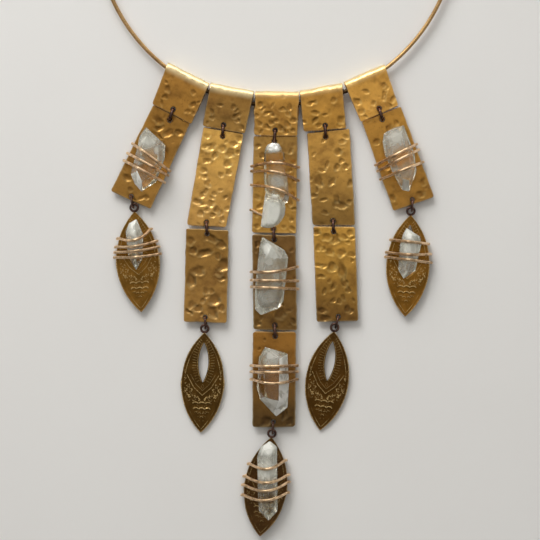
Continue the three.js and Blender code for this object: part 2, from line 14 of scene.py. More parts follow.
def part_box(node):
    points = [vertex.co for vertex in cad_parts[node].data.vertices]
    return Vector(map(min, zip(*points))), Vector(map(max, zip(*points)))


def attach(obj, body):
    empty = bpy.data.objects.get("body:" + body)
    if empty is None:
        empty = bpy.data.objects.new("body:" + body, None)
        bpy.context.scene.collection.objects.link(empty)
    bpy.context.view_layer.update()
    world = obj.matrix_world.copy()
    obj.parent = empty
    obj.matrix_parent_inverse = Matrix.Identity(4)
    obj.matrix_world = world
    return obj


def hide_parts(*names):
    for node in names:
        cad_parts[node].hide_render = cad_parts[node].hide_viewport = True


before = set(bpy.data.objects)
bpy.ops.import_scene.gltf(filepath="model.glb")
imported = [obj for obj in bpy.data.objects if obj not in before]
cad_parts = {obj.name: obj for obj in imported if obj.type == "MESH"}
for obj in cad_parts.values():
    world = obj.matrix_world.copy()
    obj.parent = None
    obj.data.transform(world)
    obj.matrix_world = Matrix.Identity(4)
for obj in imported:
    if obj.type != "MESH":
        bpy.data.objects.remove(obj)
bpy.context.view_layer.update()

MM = 0.001
# The sheets' thickness and the width of their rounded edges, in mm.
SHEET, EDGE = 0.8, 0.25
# How far the rims of the holes are dished.
HOLE_DISH = 0.08
# How fine the meshes are.
DETAIL = 1.0


# ---------------------------------------------------------------- geometry read from the frame

def cad_points(node):
    """A CAD node's vertices in millimetres."""
    return np.array([v.co[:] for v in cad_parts[node].data.vertices]) / MM


def unit(v):
    return v / np.linalg.norm(v)


def within(corners, u, v):
    """The place in plan at shares u across and v down a sheet."""
    top_left, top_right, bottom_left, bottom_right = corners
    return (1 - v) * ((1 - u) * top_left + u * top_right) + v * ((1 - u) * bottom_left + u * bottom_right)


def mean_length(corners):
    return np.linalg.norm((corners[2] + corners[3]) - (corners[0] + corners[1])) / 2


def box_of(node):
    """A CAD node's lowest and highest corners in millimetres."""
    return (np.array(corner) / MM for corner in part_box(node))


def outline_of(points):
    """The convex outline of points in plan, counter-clockwise."""
    flat = [Vector(p[:2]) for p in points]
    ring = np.array([flat[i][:] for i in convex_hull_2d(flat)])
    area = np.sum(ring[:, 0] * np.roll(ring[:, 1], -1) - ring[:, 1] * np.roll(ring[:, 0], -1))
    return ring if area > 0 else ring[::-1]


def corners_of(node):
    """A sheet's corners in plan: top left, top right, bottom left, bottom right."""
    ring = outline_of(cad_points(node))
    straight = []
    for i in range(len(ring)):
        run = ring[(i + 1) % len(ring)] - ring[i]
        if np.linalg.norm(run) < 0.02:
            continue
        angle = math.atan2(run[1], run[0])
        if straight and abs(math.sin(angle - straight[-1][0])) < 0.02:
            straight[-1][1] = ring[(i + 1) % len(ring)]
            straight[-1][2] += np.linalg.norm(run)
        else:
            straight.append([angle, ring[(i + 1) % len(ring)], np.linalg.norm(run)])
    longest = sorted(sorted(range(len(straight)), key=lambda i: -straight[i][2])[:4])
    found = []
    for i, j in zip(longest, longest[1:] + longest[:1]):
        a, p, _ = straight[i]
        b, q, _ = straight[j]
        u = np.array([math.cos(a), math.sin(a)])
        v = np.array([math.cos(b), math.sin(b)])
        share = np.linalg.solve(np.array([u, -v]).T, q - p)
        found.append(p + share[0] * u)
    found.sort(key=lambda c: c[1])
    bottom, top = (sorted(pair, key=lambda c: c[0]) for pair in (found[:2], found[2:]))
    return np.array(top + bottom)


def holes_in(node):
    """The centres and radii of the round holes in a sheet."""
    points = cad_points(node)
    top_left, top_right, bottom_left, bottom_right = corners_of(node)
    sides = [(top_left, bottom_left), (bottom_left, bottom_right), (bottom_right, top_right),
             (top_right, top_left)]
    inside = []
    for p in points[:, :2]:
        reach = min(abs(np.cross(b - a, p - a)) / np.linalg.norm(b - a) for a, b in sides)
        if reach > 0.6:
            inside.append(p)
    found = []
    for p in inside:
        near = [group for group in found if np.linalg.norm(group[0] - p) < 2.4]
        if near:
            near[0].append(p)
        else:
            found.append([p])
    holes = []
    for group in found:
        if len(group) > 8:
            low, high = np.min(group, axis=0), np.max(group, axis=0)
            holes.append(((low + high) / 2, float(np.mean(high - low)) / 2))
    return holes


# ---------------------------------------------------------------- small numeric helpers

def smooth(x):
    x = np.clip(x, 0, 1)
    return x * x * (3 - 2 * x)


def value_noise(x, y, size, seed):
    """Smooth noise from -1 to 1 with features of the given size."""
    lattice = np.random.RandomState(seed).uniform(-1, 1, (64, 64))
    u, v = np.asarray(x) / size + 17.3, np.asarray(y) / size + 31.7
    i, j = np.floor(u).astype(int), np.floor(v).astype(int)
    s, t = smooth(u - i), smooth(v - j)
    at = lambda a, b: lattice[a % 64, b % 64]
    low = at(i, j) * (1 - s) + at(i + 1, j) * s
    high = at(i, j + 1) * (1 - s) + at(i + 1, j + 1) * s
    return low * (1 - t) + high * t


def stations(length, step):
    """Grid lines from 0 to length, packed close together at both ends for a rounded edge."""
    edge = [0.0, 0.05, 0.13, EDGE]
    count = max(2, round((length - 2 * EDGE) * DETAIL / step))
    inner = np.linspace(EDGE, length - EDGE, count + 1)[1:-1]
    return np.array(edge + list(inner) + [length - e for e in edge[::-1]])


def add_object(name, data):
    thing = bpy.data.objects.new(name, data)
    bpy.context.scene.collection.objects.link(thing)
    return thing


def new_piece(name, vertices, faces, material, replaced=(), attributes=None, sharp=None):
    """A mesh piece from vertices in millimetres, riding on the only body."""
    mesh = bpy.data.meshes.new(name)
    mesh.from_pydata((np.asarray(vertices) * MM).tolist(), [], faces)
    mesh.update()
    for key, values in (attributes or {}).items():
        layer = mesh.attributes.new(key, "FLOAT", "FACE" if key == "frost_and_reflection" else "POINT")
        layer.data.foreach_set("value", np.asarray(values, np.float32))
    mesh.shade_smooth()
    if sharp is not None:
        mesh.set_sharp_from_angle(angle=math.radians(sharp))
    mesh.materials.append(material)
    piece = add_object(name, mesh)
    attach(piece, "root")
    if replaced:
        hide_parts(*replaced)
    return piece


def tube(points, radius, sides):
    """Vertices and faces of a round wire with closed, slightly rounded ends."""
    points = np.asarray(points, float)
    tangent = np.gradient(points, axis=0)
    tangent /= np.linalg.norm(tangent, axis=1)[:, None]
    normal = unit(np.cross(tangent[0], [0.31, 0.12, 0.94]))
    rings = []
    cap = 0.35 * radius
    for i, (p, t) in enumerate(zip(points, tangent)):
        normal = unit(normal - t * normal.dot(t))
        other = np.cross(t, normal)
        angles = np.arange(sides) * 2 * math.pi / sides
        ring = np.outer(np.cos(angles), normal) + np.outer(np.sin(angles), other)
        if i == 0:
            rings.append(p - cap * t + 0.6 * radius * ring)
        rings.append(p + radius * ring)
        if i == len(points) - 1:
            rings.append(p + cap * t + 0.6 * radius * ring)
    vertices = np.concatenate(rings)
    faces = []
    for i in range(len(rings) - 1):
        for k in range(sides):
            a, b = i * sides + k, i * sides + (k + 1) % sides
            faces.append((a, b, b + sides, a + sides))
    last = (len(rings) - 1) * sides
    faces.append(tuple(range(sides))[::-1])
    faces.append(tuple(range(last, last + sides)))
    return vertices, faces


# ---------------------------------------------------------------- materials

def shader(name):
    """A new material: its node tree and its Principled node."""
    material = bpy.data.materials.new(name)
    material.use_nodes = True
    nodes = material.node_tree.nodes
    return material, material.node_tree, next(n for n in nodes if n.type == "BSDF_PRINCIPLED")


def add_node(tree, kind, settings=None, **inputs):
    """A node with its settings and inputs; an input is a value or an output socket."""
    node = tree.nodes.new(kind)
    for key, value in (settings or {}).items():
        setattr(node, key, value)
    for key, value in inputs.items():
        socket = node.inputs[int(key[1:])] if key[0] == "i" and key[1:].isdigit() else node.inputs[key]
        if isinstance(value, bpy.types.NodeSocket):
            tree.links.new(value, socket)
        else:
            socket.default_value = value
    return node


def noise_at(tree, place, size, detail=2.0, rough=0.5, distortion=0.0):
    """Noise with features of the given size in millimetres, from 0 to 1."""
    node = add_node(tree, "ShaderNodeTexNoise", Vector=place, Scale=1 / (size * MM), Detail=detail,
                    Roughness=rough, Distortion=distortion)
    return node.outputs["Fac"]


def ramp(tree, value, low, high, out_low=0.0, out_high=1.0):
    node = add_node(tree, "ShaderNodeMapRange", {"interpolation_type": "SMOOTHSTEP"}, i0=value, i1=low,
                    i2=high, i3=out_low, i4=out_high)
    return node.outputs[0]


def math_node(tree, operation, a, b):
    return add_node(tree, "ShaderNodeMath", {"operation": operation}, i0=a, i1=b).outputs[0]


def vector_node(tree, operation, a, b, output="Value"):
    return add_node(tree, "ShaderNodeVectorMath", {"operation": operation}, i0=a, i1=b).outputs[output]


def mix_colour(tree, share, a, b, blend="MIX"):
    node = add_node(tree, "ShaderNodeMix", {"data_type": "RGBA", "blend_type": blend}, i0=share)
    for socket, value in ((node.inputs[6], a), (node.inputs[7], b)):
        if isinstance(value, bpy.types.NodeSocket):
            tree.links.new(value, socket)
        else:
            socket.default_value = (*value, 1)
    return node.outputs[2]


def bump(tree, principled, *layers):
    """Stacks bump layers of (height socket, depth in millimetres)."""
    normal = None
    for height, depth in layers:
        node = add_node(tree, "ShaderNodeBump", Height=height, Strength=1.0, Distance=depth * MM)
        if normal is not None:
            tree.links.new(normal, node.inputs["Normal"])
        normal = node.outputs["Normal"]
    tree.links.new(normal, principled.inputs["Normal"])


def object_place(tree):
    return add_node(tree, "ShaderNodeTexCoord").outputs["Object"]


def attribute(tree, name):
    return add_node(tree, "ShaderNodeAttribute", {"attribute_name": name}).outputs["Fac"]


def srgb(red, green, blue):
    """A display colour, 0 to 255, as linear values."""
    return tuple(((c / 255 + 0.055) / 1.055) ** 2.4 for c in (red, green, blue))


# Pale metal for worn edges; on a sleeve's fold it is worn metal and painted highlight.
PALE_WEAR_AND_HIGHLIGHT = (0.97, 0.8, 0.46)
# How much brighter a metal's base colour is than its tone under this light.
TONE_GAIN = (1.8, 1.8, 1.82)


def metal_tone(tone):
    return tuple(np.multiply(TONE_GAIN, srgb(*tone)))


def brass(name, top, bottom, ends):
    """Hand-worked brass, from its colour at one end to its colour at the other (ends are Y in mm), a change
    that is painted reflection, under brown patina in soft clouds and small specks."""
    material, tree, principled = shader(name)
    place = object_place(tree)
    height = add_node(tree, "ShaderNodeSeparateXYZ", Vector=place).outputs["Y"]
    wobble = ramp(tree, noise_at(tree, place, 9.0, 2.0), 0.2, 0.8, -4.0 * MM, 4.0 * MM)
    # Painted reflection: the colour runs from one end of the sheet to the other, as the sheet's mirrored
    # surroundings do.
    share = ramp(tree, math_node(tree, "ADD", height, wobble), ends[1] * MM, ends[0] * MM)
    bright = mix_colour(tree, share, bottom, top)
    brown = mix_colour(tree, 1.0, bright, (0.5, 0.44, 0.42), "MULTIPLY")
    light = mix_colour(tree, 1.0, bright, (1.2, 1.22, 1.25), "MULTIPLY")
    clouds = noise_at(tree, place, 6.0, 4.0, 0.6)
    specks = noise_at(tree, place, 0.9, 3.0, 0.65)
    grain = noise_at(tree, place, 0.16, 2.0, 0.6)
    tarnish = ramp(tree, clouds, 0.445, 0.775)
    spots = ramp(tree, specks, 0.56, 0.72, 0.0, 0.5)
    colour = mix_colour(tree, math_node(tree, "MAXIMUM", tarnish, spots), bright, brown)
    streaks = ramp(tree, noise_at(tree, place, 2.2, 2.0, 0.5, 0.6), 0.35, 0.7, 0.0, 0.35)
    colour = mix_colour(tree, streaks, colour, light)
    hollow = attribute(tree, "hollow")
    colour = mix_colour(tree, math_node(tree, "MULTIPLY", hollow, 0.5), colour, brown)
    # Painted highlight: the lower sides of the hammer marks are painted in this paler colour.
    pale = mix_colour(tree, 1.0, bright, (1.15, 1.38, 2.1), "MULTIPLY")
    painted_dent_highlight = attribute(tree, "painted_dent_highlight")
    colour = mix_colour(tree, math_node(tree, "MULTIPLY", painted_dent_highlight, 0.75), colour, pale)
    # Worn edges are painted pale; on a sleeve's fold the pale band is worn metal and painted highlight along
    # the bend.
    wear = attribute(tree, "wear")
    worn = math_node(tree, "MULTIPLY", wear, ramp(tree, specks, 0.3, 0.62, 0.8, 1.0))
    colour = mix_colour(tree, worn, colour, PALE_WEAR_AND_HIGHLIGHT)
    tree.links.new(colour, principled.inputs["Base Color"])
    principled.inputs["Metallic"].default_value = 1.0
    principled.inputs["Coat Weight"].default_value = 0.2
    principled.inputs["Coat Roughness"].default_value = 0.25
    tree.links.new(ramp(tree, specks, 0.3, 0.75, 0.28, 0.48), principled.inputs["Roughness"])
    bump(tree, principled, (specks, 0.04), (grain, 0.01))
    return material


def wire_metal(name, bright, dull, rough, size):
    """Drawn wire: fine streaks and a light tarnish."""
    material, tree, principled = shader(name)
    place = object_place(tree)
    tarnish = ramp(tree, noise_at(tree, place, size, 3.0, 0.6), 0.38, 0.72)
    colour = mix_colour(tree, tarnish, bright, dull)
    principled.inputs["Metallic"].default_value = 1.0
    # Painted shade: where the attribute "shade" is set, the wire is painted nearly black, for the shadow
    # between the sleeves.
    shade = attribute(tree, "shade")
    scratches = noise_at(tree, place, 0.22, 2.0, 0.7)
    colour = mix_colour(tree, shade, colour, (0.06, 0.035, 0.016))
    tree.links.new(colour, principled.inputs["Base Color"])
    tree.links.new(ramp(tree, scratches, 0.3, 0.7, rough - 0.05, rough + 0.1), principled.inputs["Roughness"])
    bump(tree, principled, (scratches, 0.01))
    return material


def embossed_metal(name, dark, worn):
    """Antique brass: dark in the ground, worn bright on the raised lines."""
    material, tree, principled = shader(name)
    place = object_place(tree)
    relief = attribute(tree, "relief")
    clouds = noise_at(tree, place, 3.5, 4.0, 0.6)
    specks = noise_at(tree, place, 0.5, 3.0, 0.7)
    wear = math_node(tree, "MULTIPLY", ramp(tree, relief, 0.2, 0.9), ramp(tree, specks, 0.34, 0.6, 0.1, 1.0))
    ground = mix_colour(tree, ramp(tree, clouds, 0.35, 0.7), dark, tuple(c * 1.6 for c in dark))
    tree.links.new(mix_colour(tree, wear, ground, worn), principled.inputs["Base Color"])
    principled.inputs["Metallic"].default_value = 1.0
    tree.links.new(ramp(tree, wear, 0.0, 0.8, 0.5, 0.32), principled.inputs["Roughness"])
    bump(tree, principled, (specks, 0.04))
    return material


def quartz(name, veil, zones, fracture):
    """Natural quartz with a milky veil; each zone (place in mm, radius in mm, milk) overrides the veil.
    fracture, 0 to 1, is how much the milk differs between its inner cells."""
    material, tree, principled = shader(name)
    place = object_place(tree)
    clouds = noise_at(tree, place, 3.2, 3.0, 0.55, 0.4)
    fine = noise_at(tree, place, 0.6, 3.0, 0.6)
    milk = ramp(tree, clouds, 0.3, 0.75, 0.75 * veil, 1.25 * veil)
    plan = vector_node(tree, "MULTIPLY", place, (1, 1, 0), "Vector")
    for centre, radius, value in zones:
        away = vector_node(tree, "DISTANCE", plan, (centre[0] * MM, centre[1] * MM, 0))
        reach = radius * MM
        ragged = ramp(tree, clouds, 0.25, 0.75, -0.25 * reach, 0.25 * reach)
        mask = ramp(tree, math_node(tree, "ADD", away, ragged), 0.35 * reach, 1.15 * reach, 1.0, 0.0)
        keep = math_node(tree, "MULTIPLY", milk, math_node(tree, "SUBTRACT", 1.0, mask))
        milk = math_node(tree, "ADD", keep, math_node(tree, "MULTIPLY", mask, value))
    cells = add_node(tree, "ShaderNodeTexVoronoi", Vector=place, Scale=1 / (2.4 * MM)).outputs["Color"]
    cell = add_node(tree, "ShaderNodeSeparateColor", i0=cells).outputs[0]
    uneven = ramp(tree, cell, 0.0, 1.0, 1 - 0.18 * fracture, 1 + 0.12 * fracture)
    milk = math_node(tree, "MULTIPLY", milk, uneven)
    # Faces turned the listed ways turn white: partly frosting, partly painted reflection of the light the
    # facets catch.
    frost_and_reflection = attribute(tree, "frost_and_reflection")
    frosted = math_node(tree, "MULTIPLY", frost_and_reflection, ramp(tree, clouds, 0.3, 0.6, 0.7, 1.0))
    milk = math_node(tree, "MAXIMUM", milk, frosted)
    # Painted highlight: the rounded edges turn milky white in patches, for the light they catch.
    rim = attribute(tree, "rim")
    edges = math_node(tree, "MULTIPLY", rim, ramp(tree, clouds, 0.42, 0.68, 0.05, 0.85))
    milk = math_node(tree, "MAXIMUM", milk, edges)
    white = mix_colour(tree, ramp(tree, milk, 0.7, 1.0), (0.66, 0.66, 0.59), (0.95, 0.94, 0.89))
    tree.links.new(mix_colour(tree, ramp(tree, milk, 0.0, 0.35), (0.95, 0.85, 0.58), white),
                   principled.inputs["Base Color"])
    tree.links.new(ramp(tree, milk, 0.0, 1.0, 1.0, 0.0), principled.inputs["Transmission Weight"])
    tree.links.new(ramp(tree, milk, 0.0, 1.0, 0.03, 0.3), principled.inputs["Roughness"])
    principled.inputs["IOR"].default_value = 1.47
    principled.inputs["Specular IOR Level"].default_value = 0.25
    bump(tree, principled, (fine, 0.008))
    return material


DARK_COPPER = wire_metal("blackened_copper", (0.16, 0.09, 0.07), (0.05, 0.032, 0.028), 0.34, 1.2)
ROSE_WIRE = wire_metal("rose_gold_wire", (0.93, 0.68, 0.43), (0.45, 0.29, 0.16), 0.3, 2.0)
COLLAR_BRASS = wire_metal("drawn_brass", (0.64, 0.4, 0.17), (0.4, 0.23, 0.09), 0.3, 5.0)


# ---------------------------------------------------------------- hammered sheets

def dent_field(a, t, dents, downward, seed):
    """The sum of hammer marks at (a, t): ragged bowls, soft at their upper side and crisp at their lower.
    Gives their height and a painted highlight: a pale mark on the lower side of each bowl, the side that
    faces the light."""
    height, painted_dent_highlight = np.zeros_like(a), np.zeros_like(a)
    ragged_a = a + 0.36 * value_noise(a, t, 1.2, seed + 8)
    ragged_t = t + 0.36 * value_noise(a, t, 1.2, seed + 9)
    draw = np.random.RandomState(seed + 11)
    for at_a, at_t, radius, depth in dents:
        lean, squash = draw.uniform(0, math.pi), draw.uniform(0.7, 1.0)
        along = (ragged_a - at_a) * math.cos(lean) + (ragged_t - at_t) * math.sin(lean)
        beside = (ragged_t - at_t) * math.cos(lean) - (ragged_a - at_a) * math.sin(lean)
        off_a = (along * squash * math.cos(lean) - beside / squash * math.sin(lean)) / radius
        off_t = (along * squash * math.sin(lean) + beside / squash * math.cos(lean)) / radius
        away = np.hypot(off_a, off_t)
        lower = np.clip((downward * off_t + 0.4 * off_a) / np.maximum(away, 1e-6), -1, 1)
        bowl = -depth * np.clip(1 - away ** 2, 0, None) ** (1.5 - 0.5 * lower)
        lip = 0.2 * depth * smooth(0.5 + 0.5 * lower) * np.exp(-((away - 1.12) / 0.2) ** 2)
        height = height + bowl + lip
        # Painted highlight: the lower side of each bowl, which faces the light, is marked to be painted pale.
        crescent = smooth(1.6 * lower) * smooth(1 - np.abs(away - 0.85) / 0.45)
        painted_dent_highlight = np.maximum(painted_dent_highlight, crescent * min(1.0, depth / 0.3))
    return height, painted_dent_highlight


def scattered_dents(width, length, count, seed, radius=(0.6, 1.1), depth=(0.05, 0.13)):
    draw = np.random.RandomState(seed)
    return [(draw.uniform(0, width), draw.uniform(0, length), draw.uniform(*radius), draw.uniform(*depth))
            for _ in range(count)]


# The grid's step on a sheet and how far a sleeve widens at each end of its fold, in mm.
GRID, FOLD_SPREAD = 0.27, 0.08


def rounded_corners(a, t, width, travel, corner):
    """The grid with each corner's square squeezed on to a quarter disc."""
    for at_left in (True, False):
        for at_start in (True, False):
            x = (corner - a) if at_left else (a - (width - corner))
            y = (corner - t) if at_start else (t - (travel - corner))
            in_corner = (x > 0) & (y > 0)
            big, away = np.maximum(x, y), np.hypot(x, y)
            scale = np.where(in_corner, big / np.maximum(away, 1e-9), 1.0)
            a = np.where(in_corner, (corner - x * scale) if at_left else (width - corner + x * scale), a)
            t = np.where(in_corner, (corner - y * scale) if at_start else (travel - corner + y * scale), t)
    return a, t


def sheet_mesh(outside, inside, t, holes):
    """The closed mesh between two grids of points, without its holes, whose rims are drawn on to circles:
    its vertices, its faces, and the grid points that it uses."""
    rows, columns = t.shape
    count = rows * columns
    keep = np.ones((rows - 1, columns - 1), bool)
    for centre, radius, limit in holes:
        away = np.linalg.norm(outside[:, :2].reshape(rows, columns, 2) - centre, axis=-1)
        inner = np.where(t <= limit, away, 99.0) < radius
        keep &= ~(inner[:-1, :-1] | inner[1:, :-1] | inner[:-1, 1:] | inner[1:, 1:])
    faces, rim = [], {}
    for i, j in np.argwhere(keep).tolist():
        p = i * columns + j
        quad = (p, p + columns, p + columns + 1, p + 1)
        faces.append(quad)
        for e in zip(quad, quad[1:] + quad[:1]):
            if e[::-1] in rim:
                del rim[e[::-1]]
            else:
                rim[e] = True
    vertices = np.concatenate([outside, inside])
    for centre, radius, limit in holes:
        for p in sorted({p for e in rim for p in e}):
            away = outside[p, :2] - centre
            reach = np.linalg.norm(away)
            if reach < radius + 0.8 and t.flat[p] <= limit:
                vertices[[p, p + count], :2] = centre + away / reach * radius
                vertices[p, 2] -= HOLE_DISH
    back = [tuple(q + count for q in quad[::-1]) for quad in faces]
    walls = [(e[1], e[0], e[0] + count, e[1] + count) for e in rim]
    used = np.unique(np.array(faces).ravel())
    index = np.full(2 * count, -1)
    index[used] = np.arange(len(used))
    index[used + count] = np.arange(len(used)) + len(used)
    faces = [tuple(int(index[q]) for q in face) for face in faces + back + walls]
    return np.concatenate([vertices[used], vertices[used + count]]), faces, used


def hammered_sheet(name, corners, path, travel, holes, style, material):
    """A sheet of even thickness with a hammered outside. path(t) gives, for a distance t along the sheet,
    the share of the plan length, the height of the sheet's middle, and its normal (down the plan, up)."""
    width = (np.linalg.norm(corners[1] - corners[0]) + np.linalg.norm(corners[3] - corners[2])) / 2
    length = mean_length(corners)
    across, down = stations(width, GRID), stations(travel, GRID)
    a, t = np.meshgrid(across, down)
    seed = style["seed"]
    a, t = rounded_corners(a, t, width, travel, style["corner"])
    # The cut edges wander a little.
    wander = style["wander"]
    left = wander * (value_noise(t, 0 * t, 3.1, seed + 1) + 0.4 * value_noise(t, 0 * t, 0.9, seed + 2))
    right = wander * (value_noise(t, 0 * t, 2.7, seed + 3) + 0.4 * value_noise(t, 0 * t, 1.0, seed + 4))
    share = a / width
    plan_a = a - left * (1 - share) ** 4 - right * share ** 4
    end = wander * value_noise(a, 0 * a, 2.9, seed + 5) * (smooth(1 - t / 3) + smooth((t - travel + 3) / 3))
    # Height of the outside over its mean plane: dents, then broad waves, planishing marks and fine ripples.
    edge = np.minimum(np.minimum(a, width - a), np.minimum(t, travel - t))
    rounding = 0.22 * (1 - np.sqrt(np.clip(1 - np.clip(1 - edge / EDGE, 0, 1) ** 2, 0, 1)))
    dents = [(u * width, style["origin"] + v * style["span"], 1.12 * r, 0.1 + 0.17 * r)
             for u, v, r in style["dents"]]
    dents += scattered_dents(width, travel, style["scatter"], seed)
    height, painted_dent_highlight = dent_field(a, t, dents, math.copysign(1, style["span"]), seed)
    hollow = np.clip(-height / 0.3, 0, 1)
    wear = 0.45 * smooth(1 - edge / 0.4)
    wave = value_noise(a, t, 4.6, seed + 6)
    height += style["wave"] * wave
    height += 0.1 * value_noise(a, t, 2.7, seed + 10)
    height += 0.06 * value_noise(a, t, 1.5, seed + 7)
    if "fold" in style:
        start, stop = style["fold"]
        worn, fade = style["worn"]
        # The fold of a sleeve is painted pale: worn metal and a painted highlight along the bend, which faces
        # the light.
        wear = np.maximum(wear, smooth((t - start + worn) / (fade * (stop - start) + worn)) * (t < stop))
        height = height * (1 - smooth((t - stop + 1.5) / 1.5))
    shift, level, slope_d, slope_z = path(t)
    depth = SHEET / 2

    def place(lift):
        along = (shift * length + end + slope_d * lift) / length
        plan = within(corners, (plan_a / width)[..., None], along[..., None])
        z = level + slope_z * lift
        return np.concatenate([plan, z[..., None]], axis=-1).reshape(-1, 3)

    outside = place(depth - rounding + height)
    inside = place(-depth + rounding + style["back_wave"] * wave)
    vertices, faces, used = sheet_mesh(outside, inside, t, holes)
    if "fold" in style:
        faces = [face[::-1] for face in faces]
    layers = {key: np.concatenate([values.ravel()[used], 0 * values.ravel()[used]])
              for key, values in (("hollow", hollow), ("wear", wear), ("painted_dent_highlight", painted_dent_highlight))}
    new_piece(name + "_hammered", vertices, faces, material, [name], layers, sharp=50)
